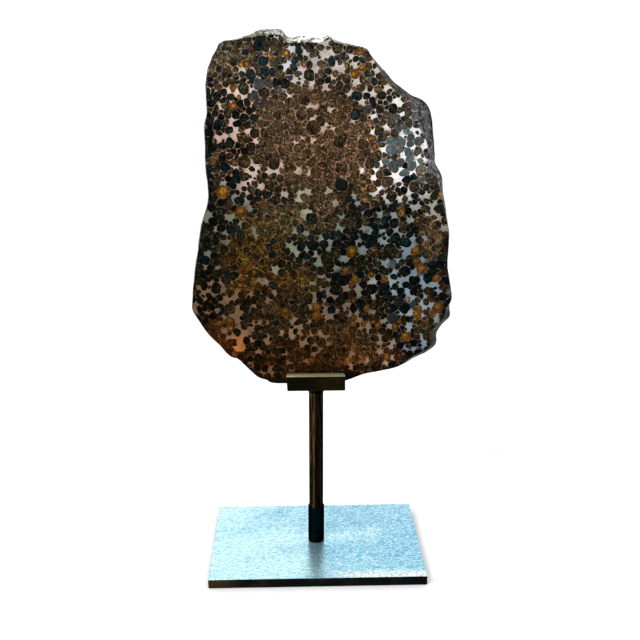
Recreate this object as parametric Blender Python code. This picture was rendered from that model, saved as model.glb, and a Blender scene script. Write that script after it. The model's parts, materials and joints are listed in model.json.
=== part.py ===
"""Pallasite meteorite slice in a slotted bronze bracket, on a post that stands in a socket on a base plate.

Metres, +Z up. The origin is the middle of the plate's underside, the slice stands across the X axis,
and its polished front face looks along -Y.
"""

import math

import bmesh
import bpy
from mathutils import Vector, noise

MM = 0.001

# Base plate
PLATE_WIDTH = 152.4 * MM
PLATE_DEPTH = 101.6 * MM
PLATE_THICKNESS = 7.0 * MM
PLATE_EDGE = 0.7 * MM

# Post and the socket that it stands in
POST_RADIUS = 5.1 * MM
POST_FOOT_CHAMFER = 0.6 * MM
SOLDER_WIDTH = 3.2 * MM
SOLDER_HEIGHT = 4.2 * MM
SOLDER_CURVE = 0.8
SOLDER_STEPS = 8
SOCKET_RADIUS = 5.9 * MM
SOCKET_HEIGHT = 28.2 * MM
SOCKET_LIP = 0.2 * MM
ROUND_SEGMENTS = 40

# Bracket
BRACKET_BASE = 129.5 * MM
BRACKET_TOP = 141.2 * MM
BRACKET_FLOOR = 2.7 * MM
BRACKET_TOP_ENDS = (-21.0 * MM, 20.1 * MM)
BRACKET_BASE_ENDS = (-20.2 * MM, 20.2 * MM)
LIP_THICKNESS = 5.0 * MM
BRACKET_EDGE = 0.6 * MM

# Slice
SLICE_THICKNESS = 8.0 * MM
BACK_EDGE_ROUND = 0.35 * MM
STEPS_BETWEEN_POINTS = 4
RIM_STEPS = (0.0, 0.12, 0.3, 0.52, 0.76, 0.94, 1.0)
RIM_CURVE = 1.35
NORMAL_WINDOW = 9
DENT_DEPTH = 0.55 * MM
DENT_SPREAD = 10.0 * MM
LUMP_HEIGHT = 1.1 * MM
LUMP_SPREAD = 5.0 * MM
LUMPS_START = 205.0 * MM
LUMPS_FULL = 225.0 * MM

# Space between two pieces that touch
GAP = 0.3 * MM

# Meshing
MERGE_DISTANCE = 0.001 * MM
SHARP_ANGLE = math.radians(35)
SOFTENED_ANGLE = math.radians(40)
EDGE_STEPS = 2

# The slice's outline in millimetres, clockwise from the left end of its foot as seen from the front.
# Each point has its distance to the right of the post, its height above the foot, and how far the polished
# front face stops short of the outline there, because the natural rim leans back.
OUTLINE = (
    (-30.0, 0.4, 1.0),
    (-35.0, 2.8, 1.0),
    (-41.5, 5.2, 1.2),
    (-48.8, 12.0, 1.5),
    (-54.5, 18.0, 1.5),
    (-59.0, 19.4, 1.8),
    (-63.0, 23.0, 1.6),
    (-68.0, 29.2, 1.5),
    (-76.0, 37.6, 1.8),
    (-82.0, 48.0, 1.5),
    (-84.9, 54.0, 1.2),
    (-85.0, 60.0, 1.0),
    (-82.7, 78.0, 1.0),
    (-79.7, 95.0, 1.0),
    (-76.7, 112.0, 1.0),
    (-71.7, 128.5, 1.0),
    (-71.2, 139.0, 1.0),
    (-72.2, 152.0, 1.0),
    (-72.0, 176.0, 1.0),
    (-70.2, 186.0, 1.0),
    (-70.6, 200.0, 1.6),
    (-68.7, 213.0, 1.8),
    (-63.5, 223.7, 1.0),
    (-58.5, 228.7, 0.8),
    (-47.5, 231.4, 0.8),
    (-38.0, 235.0, 2.6),
    (-34.0, 236.6, 4.0),
    (-22.0, 236.4, 3.0),
    (-17.0, 231.8, 3.2),
    (-5.5, 232.6, 3.6),
    (3.0, 231.8, 3.0),
    (8.5, 233.4, 1.6),
    (14.0, 229.3, 1.0),
    (30.5, 225.8, 1.0),
    (36.2, 220.5, 1.2),
    (43.8, 212.2, 3.2),
    (50.5, 205.0, 4.2),
    (60.0, 197.6, 4.5),
    (69.2, 193.4, 6.5),
    (74.2, 187.8, 9.5),
    (76.2, 178.5, 9.8),
    (77.5, 168.5, 6.0),
    (78.6, 159.0, 5.5),
    (78.8, 153.0, 5.3),
    (83.8, 144.8, 5.0),
    (85.2, 132.5, 2.4),
    (89.4, 111.5, 1.4),
    (90.2, 101.5, 1.2),
    (90.2, 83.0, 1.2),
    (94.0, 63.5, 1.6),
    (92.7, 54.5, 3.4),
    (93.4, 46.8, 5.5),
    (88.1, 41.0, 5.0),
    (84.7, 34.6, 6.5),
    (84.9, 27.8, 6.5),
    (81.8, 23.2, 4.5),
    (69.4, 16.4, 4.2),
    (58.2, 10.6, 2.4),
    (44.6, 8.0, 1.6),
    (33.5, 6.2, 1.2),
    (21.5, 1.9, 1.0),
    (10.0, 0.0, 1.0),
    (-14.0, 0.0, 1.0),
)


def clear_scene():
    for found in list(bpy.data.objects):
        bpy.data.objects.remove(found, do_unlink=True)


def finish_material(name, colour, roughness, metallic):
    material = bpy.data.materials.new(name)
    material.use_nodes = True
    shader = material.node_tree.nodes["Principled BSDF"]
    shader.inputs["Base Color"].default_value = (*colour, 1.0)
    shader.inputs["Roughness"].default_value = roughness
    shader.inputs["Metallic"].default_value = metallic
    material.diffuse_color = (*colour, 1.0)
    return material


def place(name, mesh_builder, material, location=(0.0, 0.0, 0.0)):
    """Turns a bmesh into a named object of the scene."""
    bmesh.ops.recalc_face_normals(mesh_builder, faces=mesh_builder.faces)
    mesh = bpy.data.meshes.new(name)
    mesh_builder.to_mesh(mesh)
    mesh_builder.free()
    mesh.materials.append(material)
    made = bpy.data.objects.new(name, mesh)
    made.location = location
    bpy.context.scene.collection.objects.link(made)
    return made


def shade_round(made):
    made.data.shade_smooth()
    made.data.set_sharp_from_angle(angle=SHARP_ANGLE)


def soften_edges(made, width):
    bevel = made.modifiers.new("soft_edges", "BEVEL")
    bevel.width = width
    bevel.segments = EDGE_STEPS
    bevel.limit_method = "ANGLE"
    bevel.angle_limit = SOFTENED_ANGLE


def turned(name, profile, material, location, closed):
    """A turned piece: the (radius, height) profile spun once round Z."""
    builder = bmesh.new()
    points = [builder.verts.new((radius, 0.0, height)) for radius, height in profile]
    pairs = list(zip(points, points[1:]))
    if closed:
        pairs.append((points[-1], points[0]))
    edges = [builder.edges.new(pair) for pair in pairs]
    bmesh.ops.spin(
        builder,
        geom=points + edges,
        cent=(0.0, 0.0, 0.0),
        axis=(0.0, 0.0, 1.0),
        angle=math.tau,
        steps=ROUND_SEGMENTS,
        use_merge=True,
    )
    bmesh.ops.remove_doubles(builder, verts=builder.verts, dist=MERGE_DISTANCE)
    made = place(name, builder, material, location)
    shade_round(made)
    return made


def base_plate(material):
    builder = bmesh.new()
    bmesh.ops.create_cube(builder, size=1.0)
    bmesh.ops.scale(builder, vec=(PLATE_WIDTH, PLATE_DEPTH, PLATE_THICKNESS), verts=builder.verts)
    made = place("base_plate", builder, material, (0.0, 0.0, PLATE_THICKNESS / 2))
    soften_edges(made, PLATE_EDGE)
    return made


def socket(material):
    """Open tube standing on the plate, its mouth lightly eased inside and out."""
    bore = POST_RADIUS + GAP
    profile = (
        (bore, 0.0),
        (SOCKET_RADIUS, 0.0),
        (SOCKET_RADIUS, SOCKET_HEIGHT - SOCKET_LIP),
        (SOCKET_RADIUS - SOCKET_LIP, SOCKET_HEIGHT),
        (bore + SOCKET_LIP, SOCKET_HEIGHT),
        (bore, SOCKET_HEIGHT - SOCKET_LIP),
    )
    return turned("socket", profile, material, (0.0, 0.0, PLATE_THICKNESS + GAP), closed=True)


def post(material):
    """Rod from the floor of the socket to the underside of the bracket, where a mound of solder widens it."""
    foot = PLATE_THICKNESS + GAP
    length = BRACKET_BASE - GAP - foot
    profile = [
        (0.0, 0.0),
        (POST_RADIUS - POST_FOOT_CHAMFER, 0.0),
        (POST_RADIUS, POST_FOOT_CHAMFER),
    ]
    for step in range(SOLDER_STEPS + 1):
        share = 1 - step / SOLDER_STEPS
        flare = SOLDER_WIDTH * math.cos(math.radians(90) * share**SOLDER_CURVE) ** 2
        profile.append((POST_RADIUS + flare, length - SOLDER_HEIGHT * share))
    profile.append((0.0, length))
    return turned("post", profile, material, (0.0, 0.0, foot), closed=False)


def bracket(material):
    """Bar with a slot along its top; its ends draw in a little towards the base."""
    slot_half = SLICE_THICKNESS / 2 + GAP
    outer_half = slot_half + LIP_THICKNESS
    height = BRACKET_TOP - BRACKET_BASE
    section = (
        (-outer_half, 0.0),
        (outer_half, 0.0),
        (outer_half, height),
        (slot_half, height),
        (slot_half, BRACKET_FLOOR),
        (-slot_half, BRACKET_FLOOR),
        (-slot_half, height),
        (-outer_half, height),
    )
    builder = bmesh.new()
    ends = []
    for top_x, base_x in zip(BRACKET_TOP_ENDS, BRACKET_BASE_ENDS):
        loop = []
        for y, z in section:
            x = base_x + (top_x - base_x) * z / height
            loop.append(builder.verts.new((x, y, z)))
        ends.append([builder.edges.new((a, b)) for a, b in zip(loop, loop[1:] + loop[:1])])
        builder.faces.new(loop)
    bmesh.ops.bridge_loops(builder, edges=ends[0] + ends[1])
    made = place("bracket", builder, material, (0.0, 0.0, BRACKET_BASE))
    soften_edges(made, BRACKET_EDGE)
    return made


def smooth_value(before, here, after, beyond, step):
    """Catmull-Rom blend between here and after."""
    square = step * step
    cube = square * step
    return 0.5 * (
        2 * here
        + (after - before) * step
        + (2 * before - 5 * here + 4 * after - beyond) * square
        + (3 * here - before - 3 * after + beyond) * cube
    )


def smooth_outline():
    """The outline's points joined by a smooth closed curve, as lists of x, height and lean in metres."""
    count = len(OUTLINE)
    samples = []
    for index in range(count):
        four = [OUTLINE[(index + offset) % count] for offset in (-1, 0, 1, 2)]
        for step in range(STEPS_BETWEEN_POINTS):
            share = step / STEPS_BETWEEN_POINTS
            samples.append([smooth_value(*values, share) * MM for values in zip(*four)])
    return samples


def inward_directions(samples):
    """Unit vectors into the slice, each averaged over its neighbours so that a set-back edge never folds."""
    count = len(samples)
    plain = []
    for index in range(count):
        x_before, z_before, _ = samples[index - 1]
        x_after, z_after, _ = samples[(index + 1) % count]
        plain.append(Vector((z_after - z_before, x_before - x_after)).normalized())
    averaged = []
    for index in range(count):
        total = Vector((0.0, 0.0))
        for offset in range(-NORMAL_WINDOW, NORMAL_WINDOW + 1):
            weight = NORMAL_WINDOW + 1 - abs(offset)
            total += plain[(index + offset) % count] * weight
        averaged.append(total.normalized())
    return averaged


def crust_relief(point):
    """Relief of the natural rim: shallow dents all round, rough broken crust along the top."""
    share = (point.z - LUMPS_START) / (LUMPS_FULL - LUMPS_START)
    crust = min(1.0, max(0.0, share))
    dents = noise.noise(point / DENT_SPREAD)
    lumps = noise.noise(point / LUMP_SPREAD)
    return DENT_DEPTH * dents + LUMP_HEIGHT * crust * lumps


def meteorite_slice(material):
    """Two flat polished faces and, between them, the natural rim: it leans back from the front face."""
    samples = smooth_outline()
    inward = inward_directions(samples)
    builder = bmesh.new()
    rings = []
    last = len(RIM_STEPS) - 1
    for number, share in enumerate(RIM_STEPS):
        y = SLICE_THICKNESS * (share - 0.5)
        ring = []
        for (x, z, lean), direction in zip(samples, inward):
            inset = lean * (1 - share) ** RIM_CURVE
            if number == last:
                inset += BACK_EDGE_ROUND
            in_the_slot = z < BRACKET_TOP - BRACKET_BASE
            if number not in (0, last) and not in_the_slot:
                inset += crust_relief(Vector((x, y, z)))
            height = max(0.0, z + direction.y * inset)
            ring.append(builder.verts.new((x + direction.x * inset, y, height)))
        rings.append(ring)
    count = len(samples)
    for ring, following in zip(rings, rings[1:]):
        for index in range(count):
            neighbour = (index + 1) % count
            builder.faces.new((ring[index], ring[neighbour], following[neighbour], following[index]))
    builder.faces.new(rings[0])
    builder.faces.new(rings[-1])
    foot = BRACKET_BASE + BRACKET_FLOOR + GAP
    made = place("meteorite_slice", builder, material, (0.0, 0.0, foot))
    shade_round(made)
    return made


def main():
    clear_scene()
    bpy.context.scene.unit_settings.scale_length = 1.0
    pallasite = finish_material("pallasite", (0.23, 0.19, 0.15), 0.25, 0.45)
    bronze = finish_material("dark_bronze", (0.075, 0.058, 0.035), 0.38, 0.9)
    black_tube = finish_material("blackened_tube", (0.012, 0.02, 0.024), 0.35, 0.8)
    plate_steel = finish_material("plate_steel", (0.52, 0.72, 0.78), 0.32, 0.9)
    base_plate(plate_steel)
    socket(black_tube)
    post(bronze)
    bracket(bronze)
    meteorite_slice(pallasite)


main()
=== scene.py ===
"""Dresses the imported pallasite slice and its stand: polished faces, natural rim and finished metalwork.

Metres, +Z up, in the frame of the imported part. Places on the slice are in millimetres as seen from the
front: X to the right of the post and Z above the underside of the base plate.
"""

import json
import math
import random

import bmesh
import bpy
import numpy as np
from bpy.props import FloatProperty, FloatVectorProperty, IntProperty, PointerProperty
from mathutils import Matrix, Vector, noise
from mathutils.geometry import delaunay_2d_cdt

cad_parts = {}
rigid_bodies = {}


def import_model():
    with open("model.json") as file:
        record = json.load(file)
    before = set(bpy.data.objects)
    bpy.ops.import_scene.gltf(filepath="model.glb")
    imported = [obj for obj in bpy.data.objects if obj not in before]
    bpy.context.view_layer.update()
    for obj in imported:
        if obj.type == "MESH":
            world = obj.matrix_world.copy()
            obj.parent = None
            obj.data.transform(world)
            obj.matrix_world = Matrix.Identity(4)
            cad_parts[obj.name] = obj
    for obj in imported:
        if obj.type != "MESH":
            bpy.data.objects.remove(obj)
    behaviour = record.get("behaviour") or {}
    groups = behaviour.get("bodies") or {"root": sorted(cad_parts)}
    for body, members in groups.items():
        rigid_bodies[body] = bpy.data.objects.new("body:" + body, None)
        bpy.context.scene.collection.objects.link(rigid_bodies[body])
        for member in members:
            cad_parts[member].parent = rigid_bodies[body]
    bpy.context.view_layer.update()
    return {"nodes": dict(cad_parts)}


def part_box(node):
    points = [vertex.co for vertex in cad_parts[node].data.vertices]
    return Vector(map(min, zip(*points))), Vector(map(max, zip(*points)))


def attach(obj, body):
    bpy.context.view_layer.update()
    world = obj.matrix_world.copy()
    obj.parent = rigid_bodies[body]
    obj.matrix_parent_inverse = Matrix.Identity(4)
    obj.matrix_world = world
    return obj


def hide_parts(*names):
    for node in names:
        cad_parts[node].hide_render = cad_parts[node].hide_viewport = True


bl_info = {
    "name": "Pallasite Slice on a Stand",
    "version": (1, 0, 0),
    "blender": (4, 5, 0),
    "location": "3D View > Sidebar > Pallasite",
    "description": "Finishes the packed meteorite slice and its stand",
    "category": "Add Mesh",
}

MM = 0.001

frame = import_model()

# Crystals of the polished front, listed by kind: X, Z and radius in millimetres
NOTED_CRYSTALS = {
    "dark": (
        (-47.8, 165.5, 2.4), (31.5, 164, 3.4), (-24.5, 148.5, 2.6), (-40, 152.5, 3.2), (-55.5, 343, 3.8),
        (-63, 342, 2), (-62.5, 329, 2.8), (-66.5, 324, 2.8), (-64.5, 318, 2.3), (-60, 316, 2.2),
        (-48, 324, 2.3), (-43.5, 325, 2.3), (-42.5, 319.5, 2.3), (-51, 317, 3), (-50, 312, 2.6),
        (-55.7, 307.7, 2.4), (-55, 299.5, 3.3), (-60, 298, 2.2), (-67.5, 312.5, 2.6), (-68.5, 306, 2.6),
        (-67, 296.5, 3.2), (-42, 297, 3.4), (-44, 311, 2.5), (-65.5, 349, 2.2), (-46.5, 342, 2.2),
        (-49.5, 337.5, 1.4), (-57, 336, 1.6), (-66.5, 335.5, 1.8), (-62.5, 337.5, 1.6), (-40.5, 337.5, 1.4),
        (-57.5, 357.5, 1.6), (-53, 294, 2), (-19.3, 350.8, 1.6), (-4.5, 358.3, 2.9), (-4, 347.8, 1.9),
        (-4, 341.2, 3.5), (7.5, 344.2, 2.2), (7.5, 338.6, 2), (2.5, 337.5, 2.6), (-16.8, 343.5, 2.2),
        (15, 349.5, 1.7), (15, 334.8, 2.6), (19.3, 333, 2.6), (17, 330.5, 1.8), (30, 338.5, 2.5),
        (33, 342.5, 2.3), (32.5, 328.5, 2.2), (25, 324, 2), (19.8, 309.8, 2.8), (9, 329.5, 2.6),
        (4.5, 320.5, 2.8), (15.5, 300, 4.2), (3, 313, 3), (34.5, 333.5, 1.9), (42, 328.7, 2.8),
        (47, 327, 1.9), (44.5, 324.3, 1.6), (36.8, 347, 1.6), (52.5, 330, 2.2), (49.5, 320.5, 3.2),
        (38.5, 313.5, 2), (-27.5, 286, 3.8), (-41.7, 283, 1.9), (-52, 280.5, 2.4), (-57.5, 277, 2.4),
        (-54, 271.7, 2.3), (-67.7, 278, 1.6), (-68.5, 273.5, 1.8), (-69.5, 264.5, 2.4), (-62.5, 261, 2.3),
        (-48, 266, 1.9), (-43.3, 264.3, 1.9), (-47, 270, 1.6), (-37.5, 267, 2.6), (-38, 263.5, 2.2),
        (-27.5, 261, 2), (-38, 258.8, 1.7), (-42, 260.5, 1.5), (-43, 252.8, 2.2), (-69, 257.5, 2.6),
        (-63, 251, 2.6), (-67.8, 248.2, 3), (-53, 248.5, 2.2), (-59, 248, 1.3), (-63, 244, 2.4),
        (-55.3, 239, 2), (-65.8, 239, 2.3), (-61.2, 237.7, 1.9), (-72, 236, 2.8), (-67, 235, 2.6),
        (-72.5, 232, 2.4), (-61.5, 229.5, 2.9), (-68, 225.3, 2.2), (-66, 221, 2.2), (-70.3, 217.2, 2.4),
        (-76, 212.5, 3), (-63.5, 214.5, 2.4), (-30.8, 215.5, 1.4), (-77, 227.5, 2.2), (-15, 283.5, 2),
        (-22.5, 232, 2), (-18, 235.5, 2), (-23, 219.8, 3), (-18.3, 223.2, 1.8), (-18.7, 216, 2.4),
        (-22.5, 225.8, 1.5), (-26.5, 224.5, 2.6), (-2, 216, 2.3), (3, 214.3, 2.8), (7.8, 250, 3.2),
        (10.5, 245, 3), (5.3, 232.5, 2.7), (16, 254, 2.4), (19.3, 254.3, 2), (18.5, 247, 2.8),
        (20.5, 241.5, 2.2), (25.3, 243, 1.9), (25.2, 238.2, 3.2), (19, 237, 2.4), (13.7, 233.5, 2.7),
        (29.8, 240.8, 1.3), (31.5, 233, 1.2), (15, 219.5, 2.1), (24, 219.5, 2.1), (28, 263.5, 1.8),
        (24, 257.5, 2.6), (29.3, 256.5, 2.4), (25.5, 253, 2.4), (28.7, 252.8, 1.8), (33, 253, 1.8),
        (33.5, 258.5, 1.8), (41, 273.5, 2.2), (54.2, 272.2, 1.6), (72.5, 270.3, 2.4), (70, 267.3, 1.9),
        (55, 266.3, 1.4), (42.8, 263, 1.3), (44, 260, 1.8), (45.2, 257.3, 2), (38.7, 260, 2.5),
        (35, 253.5, 2.8), (50.8, 256.7, 2.8), (61.3, 254.8, 2.5), (74, 248.5, 2.7), (80, 244.8, 3.7),
        (71.7, 242.8, 2.2), (66.8, 242, 2.8), (63.5, 245.3, 1.4), (51.7, 246.5, 3.1), (49.1, 240.5, 2.5),
        (62.5, 238.7, 2.1), (45.7, 236.7, 1.3), (42.7, 238.5, 1.1), (42.3, 230.5, 1.8), (79, 217.5, 3.6),
        (83.5, 218.5, 3.4), (79, 213, 3), (87.2, 233.5, 2.4), (36.5, 221.5, 1.4), (60, 213.8, 4),
        (-54, 206.8, 2.1), (-52.5, 203.3, 1.2), (-54.3, 171.3, 2.5), (-50.7, 181.8, 1.6),
        (-75.3, 204.5, 2.4), (-77.3, 208.5, 1.2), (-72, 208.5, 1.3), (-67, 209, 1.4), (-67.5, 203, 3.6),
        (-72.5, 197.2, 2.1), (-65.5, 196, 2.2), (-68.5, 193.8, 2.4), (-64.7, 190.5, 1.6), (-79, 194.8, 2.6),
        (-74.5, 192, 2.2), (-71, 189.8, 2.6), (-79, 187.7, 2), (-75.5, 188.6, 2.2), (-64.7, 185, 1.5),
        (-70.7, 182.8, 2.4), (-75, 183, 2), (-75.3, 179.3, 1.6), (-46.5, 192.5, 2.8), (-53.2, 193.5, 1.9),
        (-42.5, 194.5, 2.4), (-50, 189, 2), (-47.5, 186.3, 2), (-40.3, 174.5, 2.3), (-31, 166, 1.5),
        (-33.5, 156.5, 1.8), (-45.5, 152, 2.6), (-40.8, 145.5, 2.6), (-35.5, 145, 2.6), (-27, 144.5, 3.2),
        (-30.8, 147.8, 1.1), (-27, 150.8, 2), (-14.3, 171.8, 1.6), (-18.8, 166.4, 0.9), (-18, 158.5, 2.2),
        (-23.5, 157.5, 2.6), (-6, 160.5, 2), (-2.5, 176.2, 2.2), (17.8, 178.5, 2), (13.5, 181.8, 1.8),
        (20.5, 180.6, 1.1), (9.3, 194, 2.4), (5.5, 199.5, 1.4), (5.8, 196.3, 1.2), (8.8, 211, 2.2),
        (18.8, 207.5, 3.4), (20.3, 198, 1.8), (32, 204.5, 2.6), (33, 198.5, 2.4), (25.5, 188.2, 3),
        (30, 169, 2.5), (19.2, 158.5, 2), (11, 158.8, 2.4), (14.3, 156.5, 2.8), (14.5, 152.5, 2.2),
        (21.5, 144.8, 1.8), (28, 145, 2.6), (7.5, 153, 2.6), (4.5, 147, 3), (-17, 146, 2.2),
        (-16.5, 151.5, 2.4), (-22.5, 152.5, 2.2), (42.5, 205.7, 1.3), (38, 201.5, 3.8), (66.5, 207, 3.6),
        (69.5, 203, 1.8), (66.5, 199.5, 2.6), (89.5, 206.5, 2.4), (80.5, 197.5, 2.4), (86.5, 195.8, 3.2),
        (71.5, 196, 2), (75.3, 192, 2.2), (38.8, 171, 2.4), (40, 166.3, 3), (47.8, 166, 3),
        (54.5, 169, 2.2), (47, 175.5, 1.5), (59.5, 173.5, 1.8), (58, 160.5, 3), (47.5, 160.8, 1.8),
        (37.5, 154.8, 2.4), (43.8, 150.5, 2.4), (36.5, 192.5, 1.6), (68, 162.5, 2.8),
    ),
    "teal": (
        (-41, 342, 3.2), (-33, 350, 3.4), (-36, 359, 3.2), (-31.5, 344, 3.2), (-27, 343.5, 2.5),
        (-62.5, 311, 3.3), (-44, 355.5, 2.2), (-13, 350.5, 2.6), (-13.5, 346.5, 2.3), (-10.5, 356.5, 2.4),
        (10, 349.8, 2.7), (-22.8, 345.5, 2.1), (17.2, 353, 2.3), (25, 351, 1.8), (29.5, 350.5, 2),
        (26, 328.8, 3.3), (25.3, 317, 3.8), (35.5, 342.5, 2), (37.3, 337.3, 2.2), (56.5, 314.7, 2),
        (-59, 284, 3.4), (-52, 276.3, 2.6), (-51.5, 262.5, 2.2), (-48.6, 262.3, 1.9), (-56, 243, 3.2),
        (-52, 243.5, 2.4), (-74.5, 222.2, 3.4), (-29, 226, 3.4), (-31, 231, 2.6), (-28, 234.5, 2.2),
        (-10.3, 230.7, 2.8), (-3, 237.3, 2.2), (-2.3, 232, 4), (0.8, 241, 2.4), (-6.3, 234.3, 1.2),
        (-14, 233, 1.5), (-6.3, 224.5, 2.4), (-1.8, 221.8, 1.8), (6.8, 238.3, 2.5), (11.5, 240, 2.2),
        (14.8, 239.5, 2), (20, 232.5, 2.8), (32.3, 237.5, 2.2), (21.3, 263, 2.4), (23, 271.5, 2.2),
        (-10, 243.5, 2.8), (57.7, 269, 2.3), (65.5, 264.5, 2.2), (65.2, 260.7, 1.9), (45.7, 248.7, 2.7),
        (43.8, 244, 1.6), (39, 244.8, 2.1), (39.7, 241, 2.4), (36.5, 235.8, 3), (53.3, 236.3, 3.7),
        (59.2, 233.6, 3.9), (59.5, 275.5, 2.8), (64, 277.5, 2.4), (-60.5, 208.7, 3.2), (10.8, 187, 2.8),
        (2.3, 197, 2.6), (12.8, 210, 3), (12.8, 200.5, 3.2), (30.5, 191, 3.8), (52.5, 210, 2.2),
        (56.5, 211, 1.6), (55.5, 206, 0.9), (47, 202.5, 3.4), (48.5, 198, 3), (53.8, 203, 2.4),
        (57.5, 199.8, 2.6), (58.5, 196.5, 2.6), (61.5, 204.3, 2.6), (75.8, 208.8, 3.2), (81.2, 201.7, 1),
        (60.5, 187.8, 4), (53.5, 188, 2.6),
    ),
    "dusk": (
        (-36, 336, 3.8), (-38.5, 329, 2.6), (-29, 336, 2.5), (-35.5, 324, 3.6), (-16.8, 340, 1.9),
        (33.3, 320.3, 3), (-24, 333, 2.6), (52.5, 180.5, 3.9), (57, 192, 3.6),
    ),
    "slate": (
        (64, 316, 2.6), (54.5, 299.5, 3.6), (49, 295, 3.8), (58.5, 306.5, 2), (61.3, 303, 2.2),
        (61, 298.5, 1.9), (66.5, 300.5, 2.8), (60, 293, 2.6), (68, 310, 2.8), (63, 322, 2.2),
        (50.3, 284, 3.6), (45.5, 287.5, 2.3), (55, 286.5, 2.6), (61, 289, 2.6), (62.5, 284.5, 3),
        (58, 280, 2.6), (68.2, 287.3, 1.6), (69.2, 275.3, 2.2), (51.5, 219, 2.8), (66, 190.5, 2.4),
    ),
    "olive": (
        (-25.4, 362, 2.4), (-30, 362.5, 2.2), (-21.5, 360, 2), (-45.5, 333.5, 3.9), (-54, 328, 2.2),
        (-39.5, 305.5, 3.4), (-35.5, 312, 2), (-34, 299, 3), (-33, 305.5, 2.8), (-52.5, 354.5, 2.6),
        (-47.5, 353, 1.5), (-0.6, 354.7, 2.5), (2.8, 358.5, 1.9), (4, 348.2, 2.4), (-10.8, 342.2, 1.9),
        (19.5, 352.5, 1.8), (40, 341, 2), (60, 311.5, 2.6), (65.5, 305.8, 1.3), (66, 294, 2.6),
        (-34, 283, 2.3), (-46, 277.7, 2.8), (-64, 275.7, 2.4), (-64.3, 282, 2), (-56.5, 261.2, 2),
        (-42.5, 269.5, 2.3), (-40, 273.5, 2), (-37, 277.5, 2), (-30.3, 272, 3.2), (-33.5, 278.5, 2.2),
        (-29.8, 256, 2.8), (-47, 245.5, 2.6), (-55.5, 232.5, 2.8), (-43.5, 225.5, 2.8), (-37, 233.5, 3.2),
        (-37.2, 241.5, 2.8), (-31, 240, 2.4), (-3.5, 275.5, 2.4), (-23.5, 276.5, 2.8), (-20.5, 249, 4),
        (-13.5, 252, 2.2), (-4.5, 243, 1.6), (-23, 256.5, 2.8), (-16.5, 268.5, 2.6), (-10, 237.5, 2.6),
        (-11.5, 221.5, 2.6), (-13, 217.5, 2.2), (24, 247.5, 2.8), (27.5, 269, 3), (30.5, 277, 2.6),
        (30, 222, 3.2), (30.5, 216.5, 3.2), (7.5, 223.5, 4.2), (9, 218.5, 3.2), (12.8, 226.8, 3.6),
        (10.5, 282.5, 2.2), (-12.5, 277.5, 2), (58.7, 262.5, 1.9), (58, 259.5, 1.4), (65.5, 252.2, 2.5),
        (73.3, 261, 1.9), (78, 264.3, 2.9), (41, 248.7, 1.7), (69.4, 235.2, 2.4), (49.5, 228.8, 4.6),
        (54, 226, 3.4), (62.5, 222.3, 2.3), (74.7, 226, 3.4), (74.3, 239.3, 1.7), (57.7, 219.7, 2.1),
        (37, 217, 1.9), (42, 218, 2), (47, 213.5, 2.2), (-58.3, 200, 3.1), (-44, 160.5, 3.5),
        (-36.3, 160.3, 2.6), (-34.5, 153.2, 3), (-80.5, 207.5, 2.2), (-39, 203.5, 2.8), (-38, 195.3, 2.8),
        (-32, 189, 2.6), (-35, 182.5, 2.2), (-41.5, 169.3, 3), (-31, 160, 2.4), (-28.5, 157.5, 2),
        (-42.5, 187, 2), (-15.5, 201, 2.8), (-5, 195.3, 3.3), (-11.5, 194, 2.6), (-20.3, 193, 2.2),
        (-15, 188, 3), (-8.5, 187.5, 3.8), (-7.8, 180, 2.8), (-12, 178.6, 2.4), (-21.7, 179, 2.8),
        (-24.5, 165, 3.6), (-3.5, 165, 3), (14.5, 165, 3.2), (3, 177.3, 3), (9.5, 178.5, 2), (14.5, 176, 2),
        (3, 206.8, 2.8), (6, 205.2, 2.8), (17, 193.5, 3.2), (25, 172, 3), (19.5, 168, 3),
        (27.5, 158.5, 2.6), (77, 199.5, 3.2), (75.2, 184.7, 2), (43.5, 192.5, 3.4), (43.8, 185, 2.6),
        (60.5, 177.5, 2), (67.8, 177.5, 1.6), (75, 176, 2.6), (77.5, 172, 2), (76.5, 167, 3),
        (81, 163.5, 2),
    ),
    "brown": (
        (-47, 303, 3.4), (-29, 301, 2.8), (-26.5, 358, 2.4), (3, 343, 1.8), (0.5, 329.5, 4.4),
        (5, 325.8, 1.5), (10.5, 323.8, 2.2), (3.5, 301.8, 2.8), (10, 315.5, 2.8), (-12, 333, 3),
        (-7, 331, 3), (-12, 327, 2.8), (39.5, 333, 2.3), (43, 337.5, 2.2), (47, 331.5, 1.7), (49.5, 333, 2),
        (59, 318, 2.2), (41, 320.5, 2.8), (45, 317, 2.4), (43, 312, 2), (49, 312, 3), (40.5, 307, 3),
        (50.5, 305.5, 2.6), (43, 298, 1.8), (58, 321.8, 3.4), (-46.5, 287.5, 4.6), (-53, 287.5, 2.6),
        (-36.5, 289, 3.4), (-64, 255.5, 2.4), (-57, 223.3, 4.6), (-73.5, 242.5, 2.4), (-36.5, 224.3, 1.8),
        (-67, 287.5, 3), (-46, 234, 2.8), (0.5, 280, 4.4), (-19, 282, 2.2), (-7, 282, 2), (-8, 278, 1.8),
        (-17, 257.5, 2.4), (-24.5, 269.5, 2.6), (-16.5, 288, 3.2), (-24, 237.5, 2.6), (33, 248, 2.6),
        (41.7, 279, 2.6), (46.8, 274, 4), (64.7, 270.8, 3.7), (49.8, 264.7, 3.8), (72.3, 256, 3),
        (82.3, 256.3, 3.4), (58.3, 246, 2.4), (58, 242, 2.6), (75.5, 232.8, 2.6), (36, 226.7, 2),
        (-58.8, 188.2, 3.6), (-55.5, 202.8, 1.6), (-49.3, 176.8, 2.6), (-58, 163.8, 3), (-50.8, 154, 3.4),
        (-59.5, 158.5, 2.4), (-38.5, 139.5, 1.8), (-43, 143, 1.8), (-63.7, 168.8, 2), (-70.5, 170.5, 3.4),
        (-68, 175, 2), (-48.5, 209.5, 2.4), (-42, 208.5, 1.4), (-49, 202, 2), (-38.5, 190, 2),
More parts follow.
